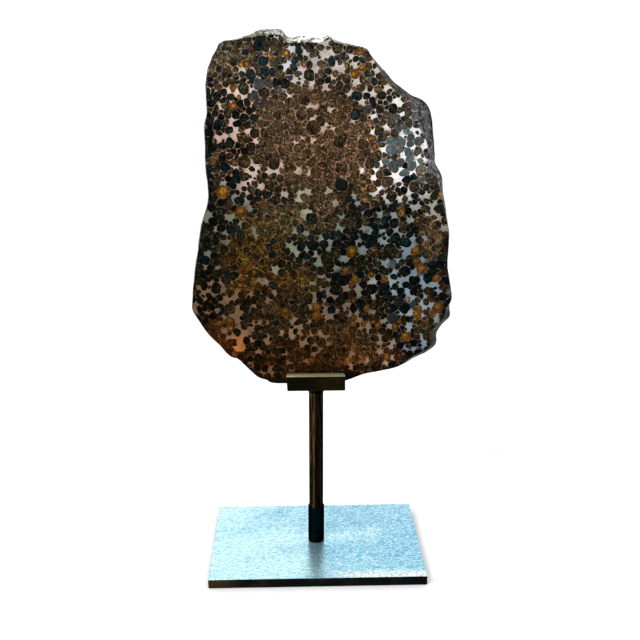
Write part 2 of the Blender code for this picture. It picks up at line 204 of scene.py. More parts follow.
        (-41.5, 181.8, 1.8), (-34.5, 174, 3), (-36.5, 168.5, 2.4), (-24.5, 207.5, 2.4), (-9.5, 201.5, 2),
        (-17.5, 196.5, 1.6), (-26, 182, 2), (-12.8, 167.5, 1.6), (-9, 166.5, 1.6), (-17, 163, 2.6),
        (-13.5, 161, 2), (-9.5, 158, 2), (3.5, 163.8, 3.4), (6.5, 172.8, 3), (11, 174, 2.8),
        (12.5, 170, 2.4), (15.5, 172.5, 1.8), (-1.5, 202.3, 2.7), (7, 191, 1.2), (16.3, 200.5, 1.8),
        (24.8, 199.3, 1.8), (15.5, 189.8, 2), (21, 176, 1.6), (22, 164, 3), (27.5, 165.5, 2.4),
        (27, 151.5, 2.4), (2.5, 152, 3.4), (11.5, 144.5, 3), (-9, 146.5, 2.8), (-12, 151.5, 2.4),
        (78, 194.8, 1.8), (69.5, 193.5, 2), (48.5, 190, 2.4), (42, 180.5, 1.6), (39, 161, 2.4),
        (70.5, 172, 2.6), (35, 209, 2),
    ),
    "rust": (
        (-58.5, 322.5, 1.6), (-28.5, 353, 2.8), (24.8, 356.2, 2), (27.3, 356, 2.2), (20, 346.5, 1.9),
        (12.5, 342, 1.9), (-8, 348.5, 1.9), (38, 297, 2.5), (36, 302, 2.5), (-57, 254.8, 2),
        (-45, 219.5, 3), (-40, 220, 2.4), (-50, 216, 3), (-33, 219.2, 1.5), (-45, 241, 2), (-38, 247, 2.2),
        (-33, 245.5, 2.4), (-41, 249.5, 2), (-26, 245.5, 2.4), (-7.5, 217.5, 1.8), (56.3, 253.8, 3.4),
        (67.8, 247.3, 2.6), (71, 251.5, 1.4), (39.3, 231, 1.8), (41.3, 226, 2.4), (81, 237, 2),
        (81.5, 231.5, 2), (81, 226, 2.2), (86.5, 212.5, 2.5), (37, 211.5, 2.6), (-71.5, 179, 2),
        (-57, 155.8, 2), (-46, 147, 1.6), (-64, 164, 2), (-29, 164, 2.4), (-17.5, 206.5, 2.8),
        (-26.5, 188.3, 1.8), (-17.3, 183.5, 2), (-20.3, 172.5, 2), (-7, 171, 2.5), (-1, 171.5, 2.2),
        (9, 165.5, 1.6), (17.5, 184.5, 2.2), (24.5, 203.5, 2.2), (25.5, 194, 2.4), (20, 172, 1.8),
        (-2.5, 151, 2.4), (17.5, 151.5, 2.6), (16.5, 147.3, 2.4), (86, 202.5, 2), (79.5, 183, 2.4),
        (57, 153, 3), (38, 182, 2), (39, 178, 1.8), (57, 178, 1.9),
    ),
    "beige": (
        (68.5, 281, 3.9), (90, 199.5, 1.8), (62.5, 193, 2.2),
    ),
    "amber": (
        (-44, 348.5, 2.6), (-47, 348, 1.7), (-52.5, 323, 2.4), (-52.5, 333.5, 1.9), (-18.5, 354.8, 2.4),
        (29.3, 346, 2.3), (24.5, 341.8, 2.8), (-61, 268, 4.7), (-50, 255.5, 3.4), (-48, 250.3, 1.8),
        (23.8, 227.8, 3.8), (20.5, 214.5, 2.8), (66.8, 227.8, 2.9), (68, 220.3, 3.2), (71.5, 215.8, 3.2),
        (-59, 179.3, 3.2), (-66, 178, 2.2), (-59, 174, 2.1), (-21.2, 185.7, 3.2), (0.5, 188.8, 3.1),
        (0.3, 182.8, 3.5), (26.5, 208.5, 2.9), (34, 188, 2.6), (25.8, 180.5, 2.2), (25.3, 176.8, 2),
        (32.5, 177, 2.2), (22.3, 150, 2.4), (32, 151, 2.4), (46.3, 208.3, 2.4), (82, 208.5, 3.1),
        (84, 188.3, 3.8), (70, 187, 2.3), (69.5, 182.6, 2.8), (42.5, 175.2, 2.3), (54.7, 174, 2.4),
        (62, 166.8, 3.8), (49.3, 152.8, 2.9),
    ),
}

# Open iron of the polished front, with no crystal in it: X, Z and radius in millimetres
IRON_POOLS = (
    (-52.8, 313, 2.4), (-52.3, 307.5, 2.2), (-52.5, 303, 1.8), (-58.5, 303, 1.6), (-46, 329.3, 1.6),
    (-41.2, 333, 1.2), (-50, 331, 1.6), (-46.5, 345.5, 2), (-55, 332.5, 1.4), (-43, 306.3, 1.4),
    (-38.8, 300.5, 1.4), (-62, 302.5, 2.2), (-60.5, 322.5, 1.6), (-15.5, 357.5, 1.8), (-17, 349.5, 1.4),
    (-19, 346, 1.4), (-9, 345.5, 1.8), (-9.3, 342, 1.2), (-13, 339, 1.6), (-8.5, 337.5, 1.6),
    (-2.5, 336.3, 1.5), (-5.8, 354.5, 1.8), (0, 350.5, 1.8), (5, 354, 2.4), (9, 355, 2),
    (0, 345, 1.6), (3.5, 361.5, 1.8), (7, 361, 1.6), (6.5, 333.8, 2), (11.5, 340, 1.3),
    (13.5, 347, 2.4), (17, 345.5, 2), (21.5, 352.5, 1.6), (24.5, 348.3, 1.8), (25.5, 337, 2.2),
    (21.5, 330.5, 1.4), (29.5, 325, 1.8), (9.5, 320.3, 1.2), (32, 331.5, 1), (-17.5, 329.5, 1),
    (-4, 322.5, 1.1), (0, 322.5, 0.9), (-2, 315, 0.9), (7.2, 311, 1.1), (4.5, 308, 1),
    (11, 309, 1), (-9, 302.5, 0.8), (-2, 301, 1.2), (-13, 299.5, 1), (24, 313, 1),
    (38, 343.5, 2.2), (36, 349, 1.2), (45.5, 333.5, 1.7), (52, 325.5, 2.6), (53.5, 323.5, 1.6),
    (55.5, 317.3, 1.4), (36, 330.5, 1.6), (37, 316, 1.3), (45.8, 309.5, 1.3), (36.5, 306.5, 1.2),
    (56.8, 304.8, 1.6), (63.5, 307.3, 1.8), (67, 306.8, 1.4), (65, 303.9, 1.2), (58.7, 298.5, 1.1),
    (63.4, 296, 1.5), (71.2, 299, 1.2), (70.3, 296.7, 1.4), (44.3, 295.2, 1.8), (57.3, 291, 1.8),
    (67, 291, 1.3), (-43.5, 286.5, 1.8), (-38.5, 284, 2.2), (-44, 281.5, 1.4), (-40.5, 279.5, 2),
    (-42, 275.5, 1.8), (-47, 273.5, 2), (-50.5, 271, 1.6), (-49, 268.6, 1.4), (-53, 265.5, 1.8),
    (-45, 267.5, 1.2), (-46, 261, 2), (-43.5, 257, 1.6), (-54.5, 261.5, 1.2), (-52.8, 284.3, 1.2),
    (-30, 281, 2), (-36, 271.5, 1.6), (-60, 273.2, 1.6), (-58, 252, 2), (-55.5, 250.8, 2.2),
    (-50, 246.5, 1.6), (-70.5, 253, 2.2), (-73, 249.5, 1.6), (-66.3, 243.5, 1.4), (-59.5, 235.5, 2),
    (-60, 240.5, 1.2), (-72, 226.5, 1.6), (-66, 216.5, 1.5), (-40.5, 242, 1.5), (-40, 239, 1.4),
    (-27.5, 215.5, 2.2), (-22.5, 285, 1.2), (-25, 281.3, 1.6), (-11.5, 281.5, 1.6), (-5, 280.3, 1.1),
    (-21, 266, 2), (-11.5, 263, 1.8), (-10, 267, 1.6), (-5, 268, 1.8), (8, 268.5, 1.9),
    (-7.5, 254, 1.8), (-8, 251.5, 1.4), (-4, 255, 1.3), (12.5, 260.5, 1.8), (-14, 241.5, 1.2),
    (-6.5, 240.5, 1.6), (-14.5, 229.5, 3), (-17, 232.5, 2.4), (-13, 227, 2), (-6.5, 229.2, 1.2),
    (3.5, 237, 1.6), (-0.5, 226, 1.4), (1.5, 219.5, 2), (2.8, 222, 1.2), (17, 251.8, 2),
    (14.5, 244.5, 2), (17, 243, 1.4), (9.5, 234.5, 1.6), (8.8, 229.5, 1.2), (25.5, 264.5, 1.2),
    (27.5, 259.5, 1.3), (30.5, 281.5, 1.1), (31, 253.5, 1), (31.5, 243.5, 1.8), (31.5, 228.5, 2.4),
    (28, 234.5, 1.6), (18.5, 222.5, 1.8), (20.5, 222.5, 1.2), (13.5, 216.5, 1.6), (51, 278.3, 2),
    (54.5, 279, 2.2), (53, 275.5, 1.6), (55.5, 281.8, 1.6), (56.5, 276.5, 1.3), (63.7, 280.3, 1.8),
    (66, 286.5, 1.2), (71, 288.5, 1), (42.5, 286, 0.9), (39, 282, 1), (37.5, 277.5, 1.8),
    (38.8, 267, 2), (42, 269.5, 1.2), (45.5, 265, 1), (47, 261.5, 1.2), (56, 270.8, 1),
    (61.5, 267.3, 1.6), (55.5, 263, 1.6), (61.5, 262.5, 1.2), (67, 258, 2.2), (64, 257, 1.6),
    (69.3, 264.3, 1.2), (73.5, 265.3, 1.8), (79, 260.3, 1.4), (76.5, 258, 2.2), (77.5, 253.5, 1.8),
    (51.5, 252, 2.2), (42.5, 252.5, 1.8), (62.5, 249, 1.8), (73.5, 252.5, 1.2), (81.5, 250, 2),
    (85.5, 242.5, 2.2), (53.5, 242, 1.6), (56.5, 239.3, 1.2), (44, 241.5, 1.4), (47, 237.8, 1.3),
    (44, 234.5, 2), (46.5, 233, 1.6), (36, 241.5, 1.4), (64.5, 236, 1.6), (64.5, 232, 2),
    (61.5, 227.5, 2.8), (58.5, 230, 1.2), (60, 224.5, 1.6), (72.8, 236.5, 1.2), (71.3, 222, 1.4),
    (47, 219.5, 2.6), (55, 221.5, 1.2), (53, 213, 1.8), (66.5, 213.5, 1.6), (-63, 202, 1.6),
    (-60, 195.3, 2.6), (-56, 196, 2), (-53.7, 198, 1.6), (-63, 193, 1.6), (-53.3, 201, 1.2),
    (-53.5, 187.5, 2.6), (-52.5, 184.5, 2.2), (-57, 183.3, 1.6), (-63, 182.5, 1.6), (-53.5, 180, 1.8),
    (-53, 175.3, 1.5), (-62.5, 172.5, 2.2), (-57, 168.5, 2), (-60, 168, 1.6), (-49.5, 171, 2.2),
    (-46.5, 171.5, 1.6), (-52, 167.5, 2), (-53, 163.5, 2.4), (-52.5, 160.5, 2.8), (-55, 160.5, 1.6),
    (-44.5, 174, 1.6), (-43.5, 165.8, 1.4), (-39.7, 157, 1.5), (-33.5, 164.8, 1.8), (-34.5, 168, 1.6),
    (-45, 148, 1.4), (-31.5, 144, 2.2), (-31, 141, 1.5), (-37, 141.5, 1.6), (-82.3, 187, 1.6),
    (-82, 191.5, 1.6), (-42.3, 189.8, 1), (-38, 208, 1.2), (-36.5, 206, 1.2), (-33.5, 207, 1.9),
    (-28, 199.5, 1.3), (-32.5, 194, 1.3), (-33, 177.6, 1), (-38.5, 178.3, 1), (-43, 177.8, 1.2),
    (-44.5, 198.5, 1.3), (4, 210.3, 1.6), (8, 208.3, 1.4), (-2.2, 205.5, 1.4), (4, 202.5, 1.3),
    (8.5, 200.3, 2), (9, 197.5, 1.6), (12.5, 196.3, 1.4), (5.5, 193.5, 1.4), (-1.2, 197.5, 1.8),
    (-0.8, 194, 1.8), (-4, 189, 1.3), (6.5, 188, 1.6), (6.5, 184.5, 1.8), (8, 182, 2.2),
    (11, 183, 1.8), (14.5, 186.5, 1.4), (-4.5, 178.5, 1.6), (-14.5, 180.5, 1.5), (-15.5, 178.3, 1.4),
    (-11, 174.5, 1.8), (-17.5, 172, 1.6), (-13.5, 175, 1.2), (-11, 170.5, 1.4), (-16.5, 168, 1.6),
    (-4.3, 169.5, 1.7), (-7.5, 164, 2.2), (-9.8, 162.8, 2), (2, 170.3, 1.5), (4.5, 167.8, 1.5),
    (7.3, 167, 1.6), (0, 162, 1.5), (8.5, 162.8, 1.3), (-0.8, 155, 1.9), (3, 158.3, 1),
    (-24, 170.5, 1.8), (-22, 155.8, 1.4), (-18.5, 149, 1.5), (-7, 149.5, 1.4), (-17, 142.3, 1.8),
    (20.5, 202, 2.2), (28.5, 201.5, 2.4), (29.5, 198.3, 1.8), (21.5, 190.5, 1.5), (19.7, 188, 1.3),
    (23.5, 184.3, 1.5), (28, 184.5, 1.5), (29.5, 179.3, 1.8), (31, 174.3, 1.3), (24.2, 145.8, 1.6),
    (24.5, 154.5, 1.8), (52, 206.8, 2), (51, 204, 1.3), (50.5, 209, 1.5), (58, 207.5, 2.3),
    (61.5, 208.3, 1.8), (57.5, 203.7, 1.5), (53.3, 199, 1.6), (65.5, 211.3, 1.5), (62.3, 200, 1.8),
    (62.8, 196.3, 1.8), (66.5, 196, 1.2), (71.8, 208.5, 1.3), (72.5, 205.8, 1.7), (73.7, 203.5, 1.6),
    (77.5, 204, 1.6), (81, 204.4, 1.4), (83.3, 199.6, 1.6), (73.8, 196.3, 1.2), (72.2, 191.5, 1.2),
    (74, 188.5, 1.7), (78.5, 189.8, 1.8), (64.5, 193, 0.9), (64, 184.3, 2.1), (58, 183.3, 1.1),
    (73.5, 183, 1.1), (83.3, 181.5, 1.4), (82.7, 178.8, 1.4), (63.8, 176.2, 1.7), (64.3, 173.4, 1.7),
    (50.3, 174.3, 1.7), (46.5, 178.5, 1.7), (38.5, 185, 1.7), (39.3, 196.3, 1.2), (38.2, 207.2, 2.4),
    (36.2, 175.5, 1.6), (36, 172, 1.4), (44.3, 168, 1.6), (44.3, 163.5, 1.6), (53, 163, 1.8),
    (51.8, 159.8, 1.5), (44, 156.8, 1.9), (53.5, 152, 1.2), (48.8, 147.8, 1.3), (35, 150, 1.6),
    (62, 158.5, 1.2), (73.2, 167.3, 1.4), (74.6, 164, 1.7), (75.2, 160.8, 1.8), (67.5, 157.6, 1.4),
    (-73, 201, 1.5), (-76.5, 199.5, 1.4), (-71.2, 206.5, 1.4), (-79.5, 203, 1.3), (-64, 206.5, 1.4),
    (-69.5, 199, 1.1), (-75, 195.8, 1.2), (-67.5, 187.5, 1.3), (-74.5, 186, 1.2), (-74.5, 218, 1.3),
)

# Broad stretches of the iron's colour, its tarnish together with painted reflection that makes it bright to
# the upper right and dim towards the foot: X, Z, reach in millimetres and linear colour
IRON_TARNISH_AND_REFLECTION = (
    (-60, 350, 14, (0.52, 0.46, 0.34)),
    (-48, 330, 14, (0.80, 0.66, 0.58)),
    (-52, 308, 16, (0.60, 0.42, 0.35)),
    (-45, 318, 9, (0.98, 0.76, 0.68)),
    (-27, 334, 9, (0.98, 0.92, 0.96)),
    (-42, 282, 14, (0.58, 0.42, 0.34)),
    (-15, 352, 14, (0.80, 0.78, 0.82)),
    (8, 350, 16, (0.58, 0.50, 0.44)),
    (0, 310, 24, (0.62, 0.44, 0.34)),
    (18, 354, 8, (0.90, 0.82, 0.74)),
    (36, 342, 12, (0.66, 0.58, 0.48)),
    (22, 325, 12, (0.60, 0.52, 0.46)),
    (58, 305, 24, (0.98, 0.96, 0.93)),
    (56, 280, 16, (0.98, 0.92, 0.90)),
    (-57, 250, 20, (0.14, 0.14, 0.105)),
    (-15, 235, 20, (0.19, 0.19, 0.13)),
    (-8, 262, 14, (0.36, 0.34, 0.25)),
    (18, 235, 24, (0.15, 0.16, 0.14)),
    (70, 258, 14, (0.27, 0.25, 0.21)),
    (50, 245, 16, (0.17, 0.20, 0.19)),
    (62, 215, 20, (0.13, 0.175, 0.225)),
    (46, 206, 9, (0.36, 0.36, 0.31)),
    (47, 235, 9, (0.22, 0.27, 0.26)),
    (72, 190, 16, (0.22, 0.26, 0.28)),
    (87, 188, 8, (0.11, 0.10, 0.09)),
    (70, 163, 12, (0.16, 0.21, 0.25)),
    (45, 165, 16, (0.20, 0.145, 0.11)),
    (15, 190, 20, (0.135, 0.10, 0.068)),
    (-12, 172, 16, (0.19, 0.12, 0.07)),
    (-57, 190, 20, (0.135, 0.082, 0.046)),
    (-53, 161, 6, (0.40, 0.13, 0.035)),
    (0, 148, 24, (0.125, 0.055, 0.026)),
    (28, 145, 14, (0.24, 0.11, 0.062)),
    (47, 146, 8, (0.34, 0.22, 0.16)),
)

# The natural rim round the slice: X, Z, reach, linear colour and roughness of its crust. The colours hold
# painted light, a pale crest lit from above and a bluish highlight low on the right, and painted shade, near
# black along the left and the foot
RIM_CRUST_AND_PAINTED_LIGHT = (
    (-33, 366, 12, (0.34, 0.36, 0.31, 1.0)),
    (-45, 358, 8, (0.090, 0.080, 0.052, 0.6)),
    (-1, 358, 13, (0.86, 0.88, 0.82, 1.0)),
    (24, 352, 9, (0.120, 0.100, 0.075, 0.5)),
    (48, 336, 22, (0.085, 0.066, 0.046, 0.1)),
    (74, 300, 26, (0.112, 0.114, 0.124, 0.0)),
    (84, 250, 24, (0.130, 0.132, 0.138, 0.0)),
    (88, 205, 22, (0.013, 0.020, 0.028, 0.0)),
    (80, 166, 9, (0.042, 0.036, 0.024, 0.1)),
    (66, 150, 12, (0.017, 0.023, 0.031, 0.0)),
    (48, 139, 10, (0.060, 0.072, 0.090, 0.0)),
    (0, 132, 50, (0.008, 0.006, 0.004, 0.2)),
    (-85, 190, 45, (0.008, 0.006, 0.004, 0.2)),
    (-82, 280, 45, (0.008, 0.006, 0.004, 0.2)),
    (-72, 345, 18, (0.016, 0.013, 0.009, 0.2)),
)

# Stretches dimmed by fine grainy weathering: X, Z, half width, half height, strength and linear colour
DUST_AREAS = (
    (2, 300, 36, 34, 0.90, (0.056, 0.032, 0.0165)),
    (-22, 318, 16, 22, 0.80, (0.048, 0.032, 0.020)),
    (-56, 351, 20, 13, 0.60, (0.068, 0.050, 0.032)),
    (-41, 226, 21, 20, 0.46, (0.066, 0.033, 0.004)),
    (-48, 207, 14, 11, 0.45, (0.090, 0.040, 0.006)),
    (-16, 206, 22, 10, 0.46, (0.060, 0.031, 0.007)),
    (-30, 182, 18, 14, 0.20, (0.044, 0.028, 0.010)),
    (-66, 166, 12, 12, 0.30, (0.052, 0.013, 0.002)),
    (-5, 152, 36, 12, 0.22, (0.044, 0.015, 0.002)),
    (32, 158, 20, 14, 0.38, (0.072, 0.034, 0.009)),
    (12, 172, 14, 8, 0.35, (0.060, 0.032, 0.010)),
    (74, 180, 9, 14, 0.40, (0.058, 0.034, 0.012)),
    (-12, 250, 34, 14, 0.55, (0.064, 0.042, 0.018)),
    (8, 262, 15, 12, 0.70, (0.064, 0.037, 0.016)),
    (33, 274, 13, 14, 0.65, (0.088, 0.046, 0.017)),
    (28, 302, 12, 12, 0.50, (0.074, 0.044, 0.022)),
    (28, 341, 11, 9, 0.45, (0.090, 0.066, 0.040)),
    (62, 300, 24, 30, 0.55, (0.060, 0.054, 0.046)),
    (-5, 348, 46, 10, 0.40, (0.070, 0.055, 0.040)),
    (77, 238, 7, 15, 0.50, (0.086, 0.056, 0.024)),
)

# Linear colours of the crystal kinds
CRYSTAL_COLOURS = {
    "dark": (0.0050, 0.0070, 0.0052),
    "pine": (0.0024, 0.0066, 0.0045),
    "olive": (0.0255, 0.0240, 0.0105),
    "brown": (0.039, 0.0255, 0.0110),
    "teal": (0.0030, 0.0115, 0.0140),
    "dusk": (0.028, 0.030, 0.034),
    "slate": (0.072, 0.090, 0.096),
    "rust": (0.105, 0.048, 0.011),
    "beige": (0.260, 0.200, 0.150),
}

# Stretches where one kind of crystal is commoner: X, Z, half width, half height, kind and weight
CRYSTAL_AREAS = (
    (-4, 306, 36, 34, "brown", 6.0),
    (58, 298, 20, 20, "slate", 2.0),
    (-50, 345, 28, 20, "brown", 1.5),
    (0, 158, 60, 26, "brown", 3.0),
    (15, 238, 46, 20, "pine", 3.0),
    (20, 232, 40, 18, "teal", 0.7),
    (-62, 235, 12, 24, "teal", 0.8),
    (-58, 240, 16, 26, "pine", 1.5),
    (-76, 308, 9, 34, "pine", 3.0),
    (-76, 308, 9, 34, "teal", 0.8),
    (-28, 335, 20, 14, "pine", 0.8),
    (50, 200, 34, 24, "pine", 1.5),
)

# How common each kind is outside those stretches, and how far a stretch's weight lifts its own kind
PLAIN_SHARES = {"dark": 6.0, "olive": 4.0, "brown": 3.0, "teal": 0.5, "rust": 0.4}
AREA_LIFT = 4.0

# Height below which no seeded crystal is teal
TEAL_FOOT = 176.0

# Kinds that turn warmer towards the foot, kinds with no bright seam and little dust, and smooth kinds
WARM_KINDS = ("dark", "olive", "brown", "rust")
CLEAN_KINDS = ("teal", "pine", "slate")
SMOOTH_KINDS = ("slate", "dusk")

# Smooth crystals: growth into their neighbours, depth of the dark edge and share of plain colour
SMOOTH_GROWTH = 1.14
SMOOTH_EDGE = 0.5
SMOOTH_CALM = 0.64

# Radius in millimetres and number of tries for each round of filling, from large to small
FILL_ROUNDS = (
    (4.3, 300),
    (3.6, 900),
    (3.0, 3000),
    (2.4, 6000),
    (1.9, 9000),
    (1.4, 9000),
    (1.0, 3000),
)
SMALLEST_SHARE = 0.86
LARGEST_SHARE = 1.14

# Least distance between two crystals as a share of their radii, and the cells that they are searched in
OVERLAP = 0.80
SEARCH_REACH = 9.0

# A crystal's own shape: its stretch, its waves, its growth to its neighbours and its corners' sharpness
STRETCH = 0.32
WAVE_COUNTS = (3, 4, 5)
WAVE = 0.12
GROWTH = 1.28
CORNER_SHARPNESS = 9.0

# Corners of a ring: those of a clear crystal, and for the others the range and the growth with size
CLEAR_CORNERS = 36
FEWEST_CORNERS = 14
MOST_CORNERS = 40
FIRST_CORNERS = 11
CORNERS_PER_RADIUS = 6

# Gaps in millimetres between touching crystals, before the rim, and the width of iron too thin to shine
TOUCH_GAP = 0.02
RIM_MARGIN = 0.12
THIN_IRON = 0.12

# Each crystal picks one of these shares of the seam, and one of these shares of the dust
MARGINS = (0.0, 0.0, 0.0, 0.0, 0.5, 0.9, 1.4, 2.4)
BARENESS = (0.45, 0.75, 0.9, 1.0, 1.0)
CLEAN_DUST = 0.3

# Brightness: its mean, spread and upper limit as powers of e, and its fall from the top to the foot, which
# is painted shade
BRIGHTNESS_MEAN = 0.02
BRIGHTNESS_SPREAD = 0.35
BRIGHTNESS_LIMIT = 0.22
SHADE_FOOT = 200.0
SHADE_TOP = 330.0
SHADE_LOW = 0.48
SHADE_HIGH = 1.2

# Colour of the warm kinds at the foot against the top
WARM_FOOT = 165.0
WARM_TOP = 235.0
WARMTH = (1.05, 0.72, 0.38)

# Distance from an open pool, in millimetres, over which the iron gets covered by weathering
COVER_START = 0.5
COVER_FULL = 1.6

# Limits of the cutting: least reach of a ring, least distance and slant of a wall, and search margin
LEAST_REACH = 0.05
LEAST_WALL = 0.1
LEAST_FACING = 0.05
NEAR_MARGIN = 1.0

# Small shares that keep the mixing of washes and of dust from dividing by nothing
LEAST_TOTAL = 1e-6
FAR_SHARE = 1e-7

# What the triangulation gives, and how near two points count as one, in millimetres
INSIDE_FACES = 1
SAME_POINT = 1e-5

# Material slots of a polished face
IRON_SLOT = 0
STONE_SLOT = 1
SEAM_SLOT = 2

# Open iron scattered over the back face
BACK_POOLS = 150
SMALLEST_POOL = 1.0
LARGEST_POOL = 2.6

# Clear crystals: lean and shrinkage towards the back, levels through the slice, swell and colour depth,
# which follows the crystals' brightness with its painted shade
LEAN = 0.12
BACK_SHRINK = 0.98
CLEAR_LEVELS = (0.0, 0.12, 0.35, 0.65, 0.88, 1.0)
CLEAR_SWELL = 0.06
CLEAR_DEPTH = 0.93
CLEAR_FADE = 0.7

# Linear tints of the dust's shades
DUST_DARK = (0.060, 0.057, 0.054)
DUST_LIGHT = (2.35, 2.303, 2.2325)
DUST_PALE = (9.0, 8.28, 7.92)

# Relief of the natural rim: its grain (size, loss of strength, step in scale, octaves) and rougher crest
CRUST_CUTS = 3
CRUST_GRAIN = 3.2 * MM
CRUST_FRACTAL = (0.9, 2.1, 4)
CRUST_HEIGHT = 0.16 * MM
CREST_HEIGHT = 0.45 * MM
CREST_START = 352.0 * MM
CREST_SPREAD = 10.0 * MM
CRUST_CALM = 0.8 * MM

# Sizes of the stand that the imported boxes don't tell, and how round its turned pieces are
SOLDER_CURVE = 0.8
SOLDER_STEPS = 16
POST_CHAMFER = 0.6 * MM
SOCKET_GAP = 0.3 * MM
SOCKET_LIP = 0.2 * MM
ROUND_SEGMENTS = 96

# Tint of the metal at a grazing angle
DARK_EDGE = (0.08, 0.07, 0.05, 1.0)

# Meshing: distance that joins loose points, and how flat a polished face is
JOIN_DISTANCE = 0.001 * MM
FLATNESS = 0.01 * MM

# Upward part of a face's normal above which it is the plate's top, painted bright with the sky's reflection;
# the other faces are painted as dark reflection
FACING_UP = 0.6

# The studio: size of the floor, and the lamp's place, aim, size and power
FLOOR_SIZE = 6.0
KEY_PLACE = (-0.9, -0.9, 1.3)
KEY_AIM = (0.0, 0.0, 0.2)
KEY_SIZE = 0.8
KEY_POWER = 14.0

# Depths in the sky, from front to back, between which its strength changes
SKY_TURNS = (-0.9, 0.3)


class PallasiteSlice(bpy.types.PropertyGroup):
    """Patterns and sizes of the slice."""

    front_seed: IntProperty(
        name="Front pattern",
        description="Seed of the crystals seen in front",
        default=11,
    )
    back_seed: IntProperty(
        name="Back pattern",
        description="Seed of the crystals seen behind",
        default=23,
    )
    seam: FloatProperty(
        name="Seam",
        description="Iron left between two crystals that meet",
        default=0.34 * MM,
        unit="LENGTH",
    )
    clear_play: FloatProperty(
        name="Clear crystal play",
        description="Space between a clear crystal and the iron round it",
        default=0.03 * MM,
        unit="LENGTH",
    )


class StandFinish(bpy.types.PropertyGroup):
    """Sizes and colours of the metal stand."""

    post_radius: FloatProperty(
        name="Post radius",
        description="Radius of the post below its solder",
        default=5.1 * MM,
        unit="LENGTH",
    )
    solder_height: FloatProperty(
        name="Solder height",
        description="Height of the solder at the top of the post",
        default=4.2 * MM,
        unit="LENGTH",
    )
    plate_edge: FloatProperty(
        name="Plate edge",
        description="Width of the rounding along the plate's edges",
        default=0.7 * MM,
        unit="LENGTH",
    )
    bronze: FloatVectorProperty(
        name="Bronze",
        description="Dark patina of the bracket",
        default=(0.004, 0.003, 0.001),
        subtype="COLOR",
    )
    # Painted highlight along the bracket's top edges, given as bared metal
    edge_highlight_bronze: FloatVectorProperty(
        name="Worn bronze",
        description="Metal bared along the bracket's edges",
        default=(0.30, 0.28, 0.17),
        subtype="COLOR",
    )
    # The plate's top colour: a painted reflection of a pale blue sky
    plate: FloatVectorProperty(
        name="Plate",
        description="Cool bright steel of the plate's top",
        default=(0.25, 0.57, 0.71),
        subtype="COLOR",
    )


class StudioStage(bpy.types.PropertyGroup):
    """Camera and light."""

    camera_place: FloatVectorProperty(
        name="Camera place",
        description="Where the camera stands",
        default=(-0.0146, -0.5794, 0.3594),
        subtype="XYZ",
    )
    camera_turn: FloatProperty(
        name="Camera turn",
        description="Turn of the camera towards +X",
        default=math.radians(1.72),
        subtype="ANGLE",
    )
    camera_tilt: FloatProperty(
        name="Camera tilt",
        description="How far the camera looks down",
        default=math.radians(17.33),
        subtype="ANGLE",
    )
    lens: FloatProperty(
        name="Lens",
        description="Focal length on a 36 mm sensor",
        default=49.49,
        unit="CAMERA",
    )
    sky: FloatProperty(
        name="Sky",
        description="Strength of the studio light behind the object",
        default=1.25,
    )
    front_sky: FloatProperty(
        name="Front sky",
        description="Strength of the studio light in front of it",
        default=0.70,
    )


